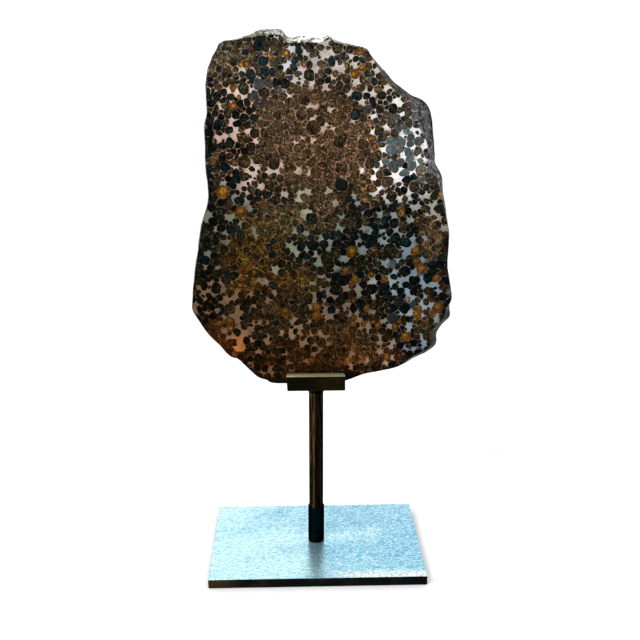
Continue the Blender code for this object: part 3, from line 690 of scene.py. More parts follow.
class Recipe:
    """A material whose nodes are wired as they are added."""

    def __init__(self, name):
        self.material = bpy.data.materials.new(name)
        self.material.use_nodes = True
        self.tree = self.material.node_tree
        self.tree.nodes.clear()
        self.output = self.tree.nodes.new("ShaderNodeOutputMaterial")
        self.where = self.add("TexCoord").outputs["Object"]

    def add(self, kind, inputs=None, **settings):
        """A node with its settings made and its inputs fed, by name or by place."""
        node = self.tree.nodes.new("ShaderNode" + kind)
        for name, value in settings.items():
            setattr(node, name, value)
        for name, value in (inputs or {}).items():
            self.feed(node.inputs[name], value)
        return node

    def feed(self, socket, value):
        """Links a socket to another node's output, or sets its own value."""
        if isinstance(value, bpy.types.NodeSocket):
            self.tree.links.new(value, socket)
        elif socket.type == "RGBA" and len(value) == 3:
            socket.default_value = (*value, 1.0)
        else:
            socket.default_value = value

    def attribute(self, name, output="Fac"):
        return self.add("Attribute", attribute_name=name).outputs[output]

    def axis(self, letter):
        """One coordinate of the surface, in metres."""
        return self.add("SeparateXYZ", {"Vector": self.where}).outputs[letter]

    def stretched(self, x, y, z):
        """The surface scaled along each axis, which draws out what is laid on it."""
        return self.add("Mapping", {"Vector": self.where, "Scale": (x, y, z)}).outputs["Vector"]

    def bent(self, scale, reach):
        """The surface pushed about by noise, so that cells laid on it lose their straight walls."""
        push = self.add("TexNoise", {"Vector": self.where, "Scale": scale}).outputs["Color"]
        shift = self.add("VectorMath", {0: push, 3: reach}, operation="SCALE").outputs["Vector"]
        return self.add("VectorMath", {0: self.where, 1: shift}, operation="ADD").outputs["Vector"]

    def noise(self, scale, detail, roughness, where=None, seed=None):
        """Fractal noise, another one for each seed."""
        inputs = {
            "Vector": self.where if where is None else where,
            "Scale": scale,
            "Detail": detail,
            "Roughness": roughness,
        }
        if seed is None:
            return self.add("TexNoise", inputs).outputs["Fac"]
        inputs["W"] = seed
        return self.add("TexNoise", inputs, noise_dimensions="4D").outputs["Fac"]

    def cells(self, where, scale, feature="F1"):
        return self.add("TexVoronoi", {"Vector": where, "Scale": scale}, feature=feature).outputs["Distance"]

    def cracks(self, where, scale, width):
        """1 on the walls between cells, falling to 0 beside them."""
        return self.step(self.cells(where, scale, "DISTANCE_TO_EDGE"), 0.0, width, 1.0, 0.0)

    def reckon(self, operation, *values):
        return self.add("Math", dict(enumerate(values)), operation=operation).outputs[0]

    def plus(self, first, second):
        return self.reckon("ADD", first, second)

    def minus(self, first, second):
        return self.reckon("SUBTRACT", first, second)

    def times(self, first, second):
        return self.reckon("MULTIPLY", first, second)

    def step(self, value, low, high, to_low=0.0, to_high=1.0):
        """Goes smoothly from to_low to to_high while the value goes from low to high."""
        inputs = dict(enumerate((value, low, high, to_low, to_high)))
        return self.add("MapRange", inputs, interpolation_type="SMOOTHSTEP").outputs["Result"]

    def mix(self, share, below, above, blend="MIX"):
        inputs = {"Factor": share, 6: below, 7: above}
        return self.add("Mix", inputs, data_type="RGBA", blend_type=blend).outputs[2]

    def tinted(self, colour, tint):
        return self.mix(1.0, colour, tint, "MULTIPLY")

    def bump(self, height, strength, distance, under=None):
        inputs = {"Height": height, "Strength": strength, "Distance": distance}
        if under is not None:
            inputs["Normal"] = under
        return self.add("Bump", inputs).outputs["Normal"]

    def finish(self, **inputs):
        """Feeds the shader's inputs, named with _ for a space, and gives the material."""
        named = {name.replace("_", " "): value for name, value in inputs.items()}
        shader = self.add("BsdfPrincipled", named)
        self.tree.links.new(shader.outputs[0], self.output.inputs["Surface"])
        return self.material


def made_once(name, maker):
    """The material of this name, made the first time that it is asked for."""
    return bpy.data.materials.get(name) or maker(name)


def dusted(r, colour, share, lightness):
    """Grainy weathering in shades of the local dust, laid over a colour."""
    dust = r.attribute("dust", "Color")
    grain = r.step(r.noise(880.0, 5.0, 0.75), 0.46, 0.55)
    speck = r.step(r.noise(900.0, 3.0, 0.7, seed=3.0), 0.58, 0.62)
    patch = r.step(r.noise(210.0, 3.0, 0.6), 0.38, 0.56, 0.20 * share, share)
    dark = r.tinted(dust, [lightness * part for part in DUST_DARK])
    light = r.tinted(dust, [lightness * part for part in DUST_LIGHT])
    grainy = r.mix(grain, dark, light)
    specked = r.mix(r.times(speck, 0.8), grainy, r.tinted(dust, DUST_PALE))
    strength = r.reckon("MINIMUM", r.times(r.attribute("veil"), patch), 0.95)
    return r.mix(strength, colour, specked)


def crystal_material(name):
    """Polished olivine that light hardly enters: mottled and cracked inside, darker towards its rim."""
    r = Recipe(name)
    tone = r.attribute("tone", "Color")
    own_seed = r.times(r.attribute("grain"), 40.0)
    mottle = r.noise(640.0, 6.0, 0.74, seed=own_seed)
    cloud = r.noise(190.0, 3.0, 0.6, seed=own_seed)
    crack = r.cracks(r.bent(260.0, 1.6 * MM), 560.0, 0.10)
    dark = r.tinted(tone, (0.06, 0.07, 0.08))
    light = r.tinted(tone, (3.1, 2.9, 2.55))
    mottled = r.mix(r.step(mottle, 0.46, 0.55), dark, light)
    clouded = r.mix(r.step(cloud, 0.40, 0.62, 0.0, 0.75), mottled, r.tinted(tone, (0.25, 0.32, 0.34)))
    cracked = r.mix(r.times(crack, 0.5), clouded, r.tinted(tone, (0.2, 0.2, 0.2)))
    calmed = r.mix(r.attribute("calm"), cracked, r.tinted(tone, (0.76, 0.88, 0.87)))
    ragged = r.plus(r.attribute("edge"), r.times(r.minus(mottle, 0.5), 0.5))
    rimmed = r.mix(r.step(ragged, 0.58, 0.98, 0.0, 0.85), calmed, r.tinted(tone, (0.15, 0.17, 0.18)))
    return r.finish(
        Base_Color=dusted(r, rimmed, share=0.9, lightness=1.2),
        Roughness=r.step(mottle, 0.2, 0.8, 0.10, 0.26),
        IOR=1.6,
        Specular_IOR_Level=0.01,
        Normal=r.bump(r.minus(0.0, crack), 0.10, 0.1 * MM),
    )


def seam_material(name):
    """The dark line where crystals all but touch."""
    r = Recipe(name)
    grit = r.step(r.noise(900.0, 3.0, 0.6), 0.35, 0.65)
    colour = r.mix(grit, (0.004, 0.004, 0.004), (0.020, 0.014, 0.009))
    return r.finish(Base_Color=colour, Roughness=0.4, Specular_IOR_Level=0.03)


def iron_material(name):
    """Polished nickel-iron in open pools, under fine brown weathering everywhere else, in tones that hold
    painted reflection.
    """
    r = Recipe(name)
    tone = r.attribute("tone", "Color")
    cover = r.attribute("cover")
    cloud = r.noise(330.0, 3.0, 0.6)
    grain = r.noise(900.0, 3.0, 0.7)
    broad = r.step(r.noise(70.0, 3.0, 0.5), 0.3, 0.7, 0.85, 1.10)
    shade = r.times(broad, r.step(cloud, 0.3, 0.7, 0.86, 1.10))
    grey = r.add("CombineColor", {"Red": shade, "Green": shade, "Blue": shade}).outputs[0]
    speck = r.times(r.step(grain, 0.68, 0.74), 0.6)
    bare = r.mix(speck, r.tinted(tone, grey), (0.03, 0.025, 0.02))
    vein = r.step(r.noise(260.0, 4.0, 0.68), 0.46, 0.58)
    glint = r.times(vein, r.plus(0.30, r.times(r.step(grain, 0.46, 0.58), 0.70)))
    dull = r.tinted(tone, (0.035, 0.028, 0.024))
    weathered = r.mix(glint, dull, r.tinted(tone, (0.84, 0.68, 0.57)))
    return r.finish(
        Base_Color=r.mix(cover, bare, dusted(r, weathered, share=1.15, lightness=2.3)),
        Metallic=r.minus(1.0, r.times(cover, 0.6)),
        Roughness=r.plus(r.step(cloud, 0.3, 0.7, 0.20, 0.30), r.times(cover, 0.2)),
        Specular_IOR_Level=0.03,
        Normal=r.bump(r.noise(2400.0, 2.0, 0.6), 0.05, 0.05 * MM),
    )


def clear_material(name):
    """Clear amber olivine: light passes through it and comes out orange."""
    r = Recipe(name)
    mottle = r.noise(620.0, 4.0, 0.6)
    cloud = r.noise(170.0, 3.0, 0.55)
    crack = r.cracks(r.bent(300.0, 2.0 * MM), 330.0, 0.06)
    hazy = r.mix(r.step(cloud, 0.38, 0.62), (0.36, 0.20, 0.07), (1.0, 0.96, 0.90))
    mottled = r.mix(r.step(mottle, 0.40, 0.54, 0.85, 0.0), hazy, (0.20, 0.11, 0.04))
    ragged = r.plus(r.attribute("edge"), r.times(r.minus(cloud, 0.5), 1.4))
    rimmed = r.mix(r.step(ragged, 0.30, 0.95, 0.0, 0.95), mottled, (0.10, 0.040, 0.008))
    cracked = r.mix(r.times(crack, 0.5), rimmed, (0.12, 0.06, 0.015))
    material = r.finish(
        # The tone carries the painted shade of the crystal's place
        Base_Color=r.tinted(cracked, r.attribute("tone", "Color")),
        Roughness=r.step(mottle, 0.2, 0.8, 0.04, 0.14),
        IOR=1.67,
        Transmission_Weight=1.0,
        Specular_Tint=(0.12, 0.08, 0.02, 1.0),
    )
    absorbing = r.add("VolumeAbsorption", {"Color": (0.895, 0.795, 0.48), "Density": 640.0})
    r.tree.links.new(absorbing.outputs[0], r.output.inputs["Volume"])
    return material


def seat_material(name):
    """The dark wall of a hole that a clear crystal fills."""
    r = Recipe(name)
    mottle = r.step(r.noise(700.0, 4.0, 0.6), 0.35, 0.65)
    colour = r.mix(mottle, (0.010, 0.008, 0.006), (0.075, 0.036, 0.015))
    return r.finish(Base_Color=colour, Roughness=0.45, Specular_IOR_Level=0.3)


def rim_material(name):
    """The natural outside of the stone: cut crystals in streaky glossy metal, painted shade that turns it
    black towards the back, and pale flecks that turn near white on the crest as painted light from above.
    """
    r = Recipe(name)
    tone = r.attribute("tone", "Color")
    crust = r.attribute("crust")
    patch = r.noise(160.0, 4.0, 0.6)
    fleck = r.noise(420.0, 4.0, 0.70)
    grit = r.noise(1300.0, 3.0, 0.7)
    streak = r.noise(520.0, 4.0, 0.6, where=r.stretched(1.6, 1.0, 0.35))
    stone = r.step(r.cells(r.bent(240.0, 2.2 * MM), 165.0), 0.34, 0.46, 1.0, 0.0)
    dull = r.tinted(tone, (0.45, 0.42, 0.36))
    patched = r.mix(r.step(patch, 0.42, 0.58), dull, r.tinted(tone, (1.35, 1.35, 1.35)))
    stoned = r.mix(r.times(stone, r.minus(0.9, crust)), patched, r.tinted(tone, (0.10, 0.13, 0.13)))
    browned = r.mix(r.step(fleck, 0.38, 0.46, 0.8, 0.0), stoned, (0.040, 0.024, 0.010))
    # Pale flecks; on the crest they turn near white, painted light from above given as pale bare crust
    pale = r.mix(crust, r.tinted(tone, (3.4, 3.4, 3.4)), (0.75, 0.77, 0.70))
    flecked = r.mix(r.step(fleck, 0.57, 0.62, 0.0, 0.9), browned, pale)
    streaked = r.mix(r.step(streak, 0.50, 0.60, 0.0, 0.5), flecked, r.tinted(tone, (0.2, 0.2, 0.22)))
    pit = r.times(crust, r.step(fleck, 0.40, 0.48, 0.95, 0.0))
    pitted = r.mix(pit, streaked, (0.036, 0.032, 0.018))
    speck = r.times(r.step(grit, 0.53, 0.60), r.minus(0.40, r.times(crust, 0.15)))
    specked = r.mix(speck, pitted, (0.006, 0.007, 0.006))
    # Painted shade: the rim turns near black towards the back face, giving the dark outer line seen from the
    # front
    behind = r.times(r.step(r.axis("Y"), 0.8 * MM, 2.8 * MM), r.minus(1.0, crust))
    coarse = r.bump(r.noise(380.0, 5.0, 0.65), 0.5, 0.5 * MM)
    return r.finish(
        Base_Color=r.mix(behind, specked, (0.003, 0.002, 0.002)),
        Roughness=r.plus(r.step(patch, 0.3, 0.7, 0.22, 0.42), r.times(crust, 0.3)),
        Specular_IOR_Level=0.04,
        Specular_Tint=(0.25, 0.30, 0.36, 1.0),
        Normal=r.bump(grit, 0.35, 0.15 * MM, coarse),
    )


def bracket_material(name):
    """Dark patinated bronze, brushed along its length, with painted light: olive on top where light falls
    from above, and a painted highlight along its top edges.
    """
    stand = bpy.context.scene.stand_finish
    low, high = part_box("bracket")
    r = Recipe(name)
    depth = r.axis("Y")
    from_top = r.minus(high.z, r.axis("Z"))
    from_face = r.reckon("MINIMUM", r.minus(depth, low.y), r.minus(high.y, depth))
    patina = r.noise(90.0, 4.0, 0.6)
    brushed = r.noise(900.0, 4.0, 0.6, where=r.stretched(0.10, 1.0, 2.4))
    warm = r.times(r.step(r.axis("X"), -4.0 * MM, 12.0 * MM), r.step(patina, 0.35, 0.60))
    base = r.mix(warm, tuple(stand.bronze), (0.012, 0.009, 0.002))
    lined = r.mix(r.step(brushed, 0.52, 0.72, 0.0, 0.5), base, (0.020, 0.016, 0.007))
    # Painted light: the top face lit olive from above
    painted_lit = r.mix(r.step(from_top, 0.0, 0.2 * MM, 1.0, 0.0), lined, (0.42, 0.37, 0.20))
    broken = r.step(r.noise(500.0, 4.0, 0.6), 0.25, 0.60, 0.55, 1.0)
    # Painted highlight along the top edges, broken up by noise
    near_top = r.step(from_top, 0.8 * MM, 1.3 * MM, 1.0, 0.0)
    edge = r.times(near_top, r.step(from_face, 0.25 * MM, 0.5 * MM, 1.0, 0.0))
    return r.finish(
        Base_Color=r.mix(r.times(edge, broken), painted_lit, tuple(stand.edge_highlight_bronze)),
        Metallic=r.step(from_top, 0.0, 0.2 * MM, 0.55, 1.0),
        Roughness=r.step(patina, 0.3, 0.7, 0.30, 0.42),
        Normal=r.bump(brushed, 0.12, 0.1 * MM),
    )


def post_material(name):
    """Dark bronze rod with painted light: brown on its left side where the lamp falls, and a lighter painted
    reflection along its right edge.
    """
    r = Recipe(name)
    patina = r.noise(420.0, 5.0, 0.7, where=r.stretched(1.0, 1.0, 0.22))
    streak = r.noise(430.0, 4.0, 0.65, where=r.stretched(1.0, 1.0, 0.05))
    copper = r.step(r.noise(48.0, 3.0, 0.6), 0.46, 0.58)
    across = r.plus(r.axis("X"), r.times(r.minus(patina, 0.5), 2.0 * MM))
    # Painted light on the left side of the rod, brown where the lamp falls; dark elsewhere
    lamplit = r.mix(copper, (0.092, 0.070, 0.034), (0.105, 0.062, 0.028))
    painted_lit = r.mix(r.step(across, -2.8 * MM, -0.6 * MM, 1.0, 0.0), (0.007, 0.005, 0.002), lamplit)
    # Painted reflection: a lighter strip along the right edge
    reflection_edged = r.mix(r.step(across, 2.2 * MM, 3.6 * MM), painted_lit, (0.026, 0.024, 0.016))
    dark_patch = r.step(patina, 0.52, 0.64, 0.0, 0.8)
    dark_streak = r.step(streak, 0.48, 0.56, 0.0, 0.9)
    colour = r.mix(r.reckon("MAXIMUM", dark_patch, dark_streak), reflection_edged, (0.0015, 0.0012, 0.0006))
    return r.finish(
        Base_Color=colour,
        Metallic=1.0,
        Specular_Tint=DARK_EDGE,
        Roughness=r.step(patina, 0.3, 0.7, 0.28, 0.40),
        Normal=r.bump(patina, 0.10, 0.1 * MM),
    )


def tube_material(name):
    """Blackened tube with a faint teal sheen."""
    r = Recipe(name)
    patina = r.step(r.noise(160.0, 4.0, 0.6), 0.35, 0.65)
    grit = r.noise(1500.0, 3.0, 0.6)
    return r.finish(
        Base_Color=r.mix(patina, (0.0006, 0.0032, 0.0042), (0.0014, 0.0075, 0.0092)),
        Metallic=1.0,
        Specular_Tint=DARK_EDGE,
        Roughness=r.step(grit, 0.3, 0.7, 0.26, 0.40),
        Normal=r.bump(grit, 0.12, 0.1 * MM),
    )


def plate_top_material(name):
    """Steel top painted with the reflection of a pale blue sky: pale and blue drifts, fine dark speckle and
    a scuffed front edge.
    """
    stand = bpy.context.scene.stand_finish
    r = Recipe(name)
    across = r.axis("X")
    depth = r.axis("Y")
    broad = r.noise(34.0, 5.0, 0.65, where=r.stretched(0.45, 1.0, 1.0))
    streak = r.noise(620.0, 3.0, 0.7, where=r.stretched(0.4, 1.0, 1.0))
    dots = r.noise(1350.0, 3.0, 0.8, where=r.stretched(0.42, 1.0, 1.0))
    drift = r.plus(broad, r.plus(r.times(across, 1.5), r.times(depth, 0.9)))
    ragged = r.minus(depth, r.times(streak, 6.0 * MM))
    near_front = r.step(ragged, -50.0 * MM, -44.0 * MM, 1.0, 0.0)
    scuff = r.times(near_front, r.step(across, -4.0 * MM, 30.0 * MM, 0.0, 0.70))
    # Painted reflection of a pale blue sky, paler to the front left and bluer to the back right
    painted_sky = r.mix(r.step(drift, 0.34, 0.66), (0.58, 0.87, 0.89), tuple(stand.plate))
    streaked = r.mix(r.step(streak, 0.42, 0.60, 0.0, 0.8), painted_sky, r.tinted(painted_sky, (0.58, 0.76, 0.86)))
    pale = r.mix(r.step(dots, 0.39, 0.47, 0.75, 0.0), streaked, (0.88, 0.98, 0.95))
    specks = r.times(r.step(dots, 0.54, 0.60), r.step(across, -60.0 * MM, 60.0 * MM, 0.6, 1.0))
    dotted = r.mix(specks, pale, r.tinted(painted_sky, (0.16, 0.36, 0.54)))
    scuffed = r.mix(scuff, dotted, (0.94, 1.0, 0.97))
    return r.finish(
        Base_Color=r.mix(r.times(scuff, r.step(dots, 0.52, 0.56)), scuffed, (0.05, 0.12, 0.20)),
        Metallic=0.80,
        Roughness=r.step(broad, 0.3, 0.7, 0.20, 0.30),
        Specular_IOR_Level=0.1,
        Normal=r.bump(dots, 0.03, 0.1 * MM),
    )


def plate_edge_material(name):
    """Sawn edge of the plate painted near black as dark reflection, brown towards its left end."""
    r = Recipe(name)
    patch = r.step(r.noise(60.0, 4.0, 0.6), 0.50, 0.70, 0.0, 0.5)
    lines = r.noise(1600.0, 3.0, 0.6, where=r.stretched(0.05, 0.05, 1.0))
    left_end = r.step(r.axis("X"), -70.0 * MM, -50.0 * MM, 1.0, 0.0)
    # Near black as painted dark reflection, brown towards the left end
    browned = r.mix(r.plus(left_end, patch), (0.003, 0.0045, 0.005), (0.036, 0.022, 0.012))
    return r.finish(
        Base_Color=r.mix(r.step(lines, 0.55, 0.72, 0.0, 0.4), browned, (0.018, 0.034, 0.038)),
        Metallic=1.0,
        Roughness=0.42,
        Normal=r.bump(lines, 0.15, 0.1 * MM),
    )


def floor_material(name):
    """Plain pale matt floor."""
    r = Recipe(name)
    colour = r.mix(r.noise(30.0, 3.0, 0.5), (0.90, 0.90, 0.90), (0.93, 0.93, 0.93))
    return r.finish(Base_Color=colour, Roughness=0.9)


def paint(mesh, name, values):
    """Stores one number or one colour for each point of a mesh."""
    in_colour = hasattr(values[0], "__len__")
    made = mesh.attributes.new(name, "FLOAT_COLOR" if in_colour else "FLOAT", "POINT")
    if in_colour:
        flat = np.ones((len(values), 4), np.float32)
        flat[:, :3] = np.array(values)
        made.data.foreach_set("color", flat.ravel())
    else:
        made.data.foreach_set("value", np.array(values, np.float32))


def new_piece(name, mesh):
    """Puts a mesh in the scene as a piece that moves with the part."""
    piece = bpy.data.objects.new(name, mesh)
    bpy.context.scene.collection.objects.link(piece)
    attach(piece, "root")
    return piece


def packed_solid(node):
    """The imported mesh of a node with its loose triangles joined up."""
    builder = bmesh.new()
    builder.from_mesh(frame["nodes"][node].data)
    bmesh.ops.remove_doubles(builder, verts=builder.verts, dist=JOIN_DISTANCE)
    return builder


def mesh_from(builder, name):
    mesh = bpy.data.meshes.new(name)
    builder.to_mesh(mesh)
    builder.free()
    return mesh


def shade_round(mesh, sharp_angle):
    """Smooth shading that keeps the edges sharper than the angle, in degrees."""
    mesh.shade_smooth()
    mesh.set_sharp_from_angle(angle=math.radians(sharp_angle))


def eased(share):
    """A share from 0 to 1 that starts and ends gently."""
    return share * share * (3 - 2 * share)


def limited(share):
    return min(1.0, max(0.0, share))


def flat_faces(builder):
    """The faces in the slice's flat front, and those in its flat back."""
    low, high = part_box("meteorite_slice")
    front = [f for f in builder.faces if all(v.co.y < low.y + FLATNESS for v in f.verts)]
    back = [f for f in builder.faces if all(v.co.y > high.y - FLATNESS for v in f.verts)]
    return front, back


def outline_of(faces):
    """The outline of a flat face in millimetres, anticlockwise as seen from the front."""
    inside = set(faces)
    following = {}
    for face in faces:
        for loop in face.loops:
            shared = [f for f in loop.edge.link_faces if f in inside]
            if len(shared) == 1:
                following[loop.vert] = loop.link_loop_next.vert
    start = next(iter(following))
    chain = [start]
    while following[chain[-1]] is not start:
        chain.append(following[chain[-1]])
    points = np.array([(v.co.x / MM, v.co.z / MM) for v in chain])
    x, z = points.T
    doubled_area = np.sum(x * np.roll(z, -1) - np.roll(x, -1) * z)
    return points if doubled_area > 0 else points[::-1].copy()


def inside_outline(points, outline):
    """True for each of the points that lies inside the outline."""
    x, z = points[:, :1], points[:, 1:]
    ax, az = outline.T
    bx, bz = np.roll(outline, -1, axis=0).T
    spans = (az > z) != (bz > z)
    crossing = ax + (z - az) * (bx - ax) / np.where(bz == az, 1e-9, bz - az)
    return (np.sum(spans & (x < crossing), axis=1) % 2) == 1


def reach_to_outline(centre, directions, outline):
    """How far each direction goes from the centre before it meets the outline."""
    a = outline - centre
    b = np.roll(outline, -1, axis=0) - centre
    side = b - a
    dx, dz = directions[:, :1], directions[:, 1:]
    turned = dx * side[:, 1] - dz * side[:, 0]
    turned = np.where(np.abs(turned) < 1e-9, 1e-9, turned)
    along = (a[:, 0] * side[:, 1] - a[:, 1] * side[:, 0]) / turned
    across = (a[:, 0] * dz - a[:, 1] * dx) / turned
    hit = (along > 0) & (across >= -1e-6) & (across <= 1 + 1e-6)
    return np.where(hit, along, np.inf).min(axis=1)


def away_from(x, z, area_x, area_z, half_x, half_z):
    """How far a place is from the middle of a stretch: 0 there, 1 at its edge, squared."""
    return ((x - area_x) / half_x) ** 2 + ((z - area_z) / half_z) ** 2


def kind_at(x, z, chance):
    """Draws the kind of a seeded crystal by what is common at its place."""
    shares = dict(PLAIN_SHARES)
    for area_x, area_z, half_x, half_z, kind, weight in CRYSTAL_AREAS:
        away = away_from(x, z, area_x, area_z, half_x, half_z)
        shares[kind] = shares.get(kind, 0.0) + weight * AREA_LIFT * math.exp(-away * away)
    if z < TEAL_FOOT:
        shares["teal"] = 0.0
    kinds = sorted(shares)
    return chance.choices(kinds, [shares[kind] for kind in kinds])[0]


def painted_shade_at(z):
    """Painted shade: how much light the crystals send back, less towards the foot of the slice."""
    share = limited((z - SHADE_FOOT) / (SHADE_TOP - SHADE_FOOT))
    return SHADE_LOW + (SHADE_HIGH - SHADE_LOW) * eased(share)


class Crystal:
    """One crystal as a polished face cuts it, in millimetres."""

    def __init__(self, x, z, radius, kind, chance):
        clean = kind in CLEAN_KINDS
        self.x = x
        self.z = z
        self.radius = radius
        self.kind = kind
        self.clear = kind == "amber"
        self.smooth = kind in SMOOTH_KINDS
        self.stretch = chance.uniform(0.0, STRETCH)
        self.turn = chance.uniform(0.0, math.pi)
        self.waves = [
            (count, chance.uniform(-WAVE, WAVE), chance.uniform(0.0, math.tau)) for count in WAVE_COUNTS
        ]
        self.grain = chance.random()
        light = min(BRIGHTNESS_LIMIT, chance.gauss(BRIGHTNESS_MEAN, BRIGHTNESS_SPREAD))
        # Brightness: random tone times the painted shade that darkens the crystals towards the foot
        self.brightness = math.exp(light) * painted_shade_at(z)
        self.margin = 0.0 if clean else chance.choice(MARGINS)
        self.dustiness = chance.choice(BARENESS) * (CLEAN_DUST if clean else 1.0)
        self.ring = None

    def outline(self, angles):
        """How far its own shape reaches at each angle, before neighbours flatten it."""
        reach = self.radius * (1 + self.stretch * np.cos(2 * (angles - self.turn)))
        if self.smooth:
            reach = reach * SMOOTH_GROWTH
        for count, height, start in self.waves:
            reach = reach * (1 + height * np.cos(count * angles + start))
        return reach

    def corner_count(self):
        if self.clear:
            return CLEAR_CORNERS
        corners = FIRST_CORNERS + CORNERS_PER_RADIUS * self.radius
        return int(min(MOST_CORNERS, max(FEWEST_CORNERS, corners)))

    def tone(self):
        """Its kind's colour times its brightness, which holds painted shade, warmer towards the foot of the
        slice for the warm kinds.
        """
        warmth = 0.0
        if self.kind in WARM_KINDS:
            warmth = limited((WARM_TOP - self.z) / (WARM_TOP - WARM_FOOT))
        tint = [1 + (part - 1) * warmth for part in WARMTH]
        return [value * part * self.brightness for value, part in zip(CRYSTAL_COLOURS[self.kind], tint)]


def kept_inside(spots, outline):
    """The spots whose middles lie inside the outline."""
    inside = inside_outline(np.array([(x, z) for x, z, _ in spots]), outline)
    return [spot for spot, within in zip(spots, inside) if within]


def leaning(spots, seed):
    """Where crystals that go through the slice come out behind: a little aside and smaller."""
    chance = random.Random(seed)
    moved = []
    for x, z, radius in spots:
        turn = chance.uniform(0.0, math.tau)
        aside = LEAN * radius
        moved.append((x + aside * math.cos(turn), z + aside * math.sin(turn), radius * BACK_SHRINK))
    return moved


def drawn_place(low, high, chance):
    """A place drawn between two corners."""
    return chance.uniform(low[0], high[0]), chance.uniform(low[1], high[1])


def seeded_pools(outline, seed):
    """Open iron scattered over a face: places and radii in millimetres."""
    chance = random.Random(seed)
    low, high = outline.min(axis=0), outline.max(axis=0)
    return [
        (*drawn_place(low, high, chance), chance.uniform(SMALLEST_POOL, LARGEST_POOL))
        for _ in range(BACK_POOLS)
    ]


class TakenPlaces:
    """Circles that are taken, kept in square cells so that each search stays short."""

    def __init__(self):
        self.cells = {}

    def cell_of(self, x, z):
        return int(x // SEARCH_REACH), int(z // SEARCH_REACH)

    def keep(self, x, z, radius):
        self.cells.setdefault(self.cell_of(x, z), []).append((x, z, radius))

    def near(self, x, z):
        """The circles in a place's own cell and in the eight round it."""
        column, row = self.cell_of(x, z)
        for across in (-1, 0, 1):
            for up in (-1, 0, 1):
                yield from self.cells.get((column + across, row + up), ())

    def has_room(self, x, z, radius):
        """True where no kept circle would be overlapped by more than is allowed."""
        return all(
            math.hypot(x - other_x, z - other_z) > OVERLAP * (other + radius)
            for other_x, other_z, other in self.near(x, z)
        )


def fill_with_crystals(outline, noted, pools, seed):
    """The noted crystals, then seeded ones from large to small wherever they fit."""
    chance = random.Random(seed)
    crystals = [Crystal(*spot, kind, chance) for kind, spots in noted.items() for spot in spots]
    taken = TakenPlaces()
    for crystal in crystals:
        taken.keep(crystal.x, crystal.z, crystal.radius)
    for pool in pools:
        taken.keep(*pool)
    low, high = outline.min(axis=0), outline.max(axis=0)
    for size, tries in FILL_ROUNDS:
        places = np.array([drawn_place(low, high, chance) for _ in range(tries)])
        for x, z in places[inside_outline(places, outline)]:
            radius = size * chance.uniform(SMALLEST_SHARE, LARGEST_SHARE)
            if taken.has_room(x, z, radius):
                crystals.append(Crystal(x, z, radius, kind_at(x, z, chance), chance))
                taken.keep(x, z, radius)
    return crystals


def pool_limits(centre, directions, shape, pools):
    """How far a crystal may grow each way before it would close iron that its own shape leaves open."""
    limit = np.full(len(directions), np.inf)
    for x, z, radius in pools:
        away = np.array((x, z)) - centre
        if math.hypot(*away) > radius + shape.max() * GROWTH:
            continue
        along = directions @ away
        chord = radius**2 - (away @ away - along**2)
        meets = (chord > 0) & (along > 0)
        entry = along - np.sqrt(np.maximum(chord, 0.0))
        limit = np.where(meets, np.minimum(limit, np.maximum(entry, shape)), limit)
    return limit


def free_reach(crystal, centre, angles, directions, pools):
    """How far a crystal would grow each way with no other crystal beside it."""
    shape = crystal.outline(angles)
    reach = np.minimum(shape * GROWTH, pool_limits(centre, directions, shape, pools))
    return (np.roll(reach, 1) + 2 * reach + np.roll(reach, -1)) / 4


def wall_limits(crystal, other, offset, apart, directions, seam):
    """How far a crystal may reach each way before it meets the wall to one neighbour."""
    wall = (apart**2 + crystal.radius**2 - other.radius**2) / (2 * apart)
    wall -= seam * (crystal.margin + other.margin) / 4 + TOUCH_GAP
    facing = directions @ (offset / apart)
    limit = np.where(facing > LEAST_FACING, wall / np.maximum(facing, LEAST_FACING), np.inf)
    return np.maximum(limit, LEAST_WALL)


def cut_outlines(crystals, pools, outline, seam):
    """Gives each crystal its ring: round where it meets iron, flattened where it meets a neighbour."""
    centres = np.array([(c.x, c.z) for c in crystals])
    radii = np.array([c.radius for c in crystals])
    for centre, crystal in zip(centres, crystals):
        count = crystal.corner_count()
        angles = np.arange(count) * math.tau / count
        directions = np.stack([np.cos(angles), np.sin(angles)], axis=1)
        offsets = centres - centre
        apart = np.hypot(offsets[:, 0], offsets[:, 1])
        near = (apart > 0) & (apart < GROWTH * (radii + crystal.radius) + NEAR_MARGIN)
        inverse = free_reach(crystal, centre, angles, directions, pools) ** -CORNER_SHARPNESS
        for other in np.nonzero(near)[0]:
            limit = wall_limits(crystal, crystals[other], offsets[other], apart[other], directions, seam)
            inverse = inverse + limit**-CORNER_SHARPNESS
        to_rim = reach_to_outline(centre, directions, outline) - RIM_MARGIN
        reach = np.minimum(inverse ** (-1 / CORNER_SHARPNESS), np.maximum(to_rim, LEAST_REACH))
        crystal.ring = centre + directions * reach[:, None]


def grown_crystals(outline, noted, pools, seed, seam):
    """All crystals of one face with their rings cut."""
    crystals = fill_with_crystals(outline, noted, pools, seed)
    cut_outlines(crystals, pools, outline, seam)
    return crystals


def washed(x, z, washes):
    """The values of the washes round a place, mixed by how near each of them is."""
    total = LEAST_TOTAL
    values = [0.0] * len(washes[0][3])
    for wash_x, wash_z, reach, wash in washes:
        share = math.exp(-((x - wash_x) ** 2 + (z - wash_z) ** 2) / reach**2) + FAR_SHARE
        total += share
        values = [value + share * part for value, part in zip(values, wash)]
    return [value / total for value in values]


def cover_over(points, pools):
    """How covered the iron is at each point: 0 in the open pools, rising to 1 away from them."""
    x, z = np.array(points).T
    beyond = np.full(len(points), np.inf)
    for pool_x, pool_z, radius in pools:
        beyond = np.minimum(beyond, np.hypot(x - pool_x, z - pool_z) - radius)
    return eased(np.clip((beyond - COVER_START) / (COVER_FULL - COVER_START), 0.0, 1.0))


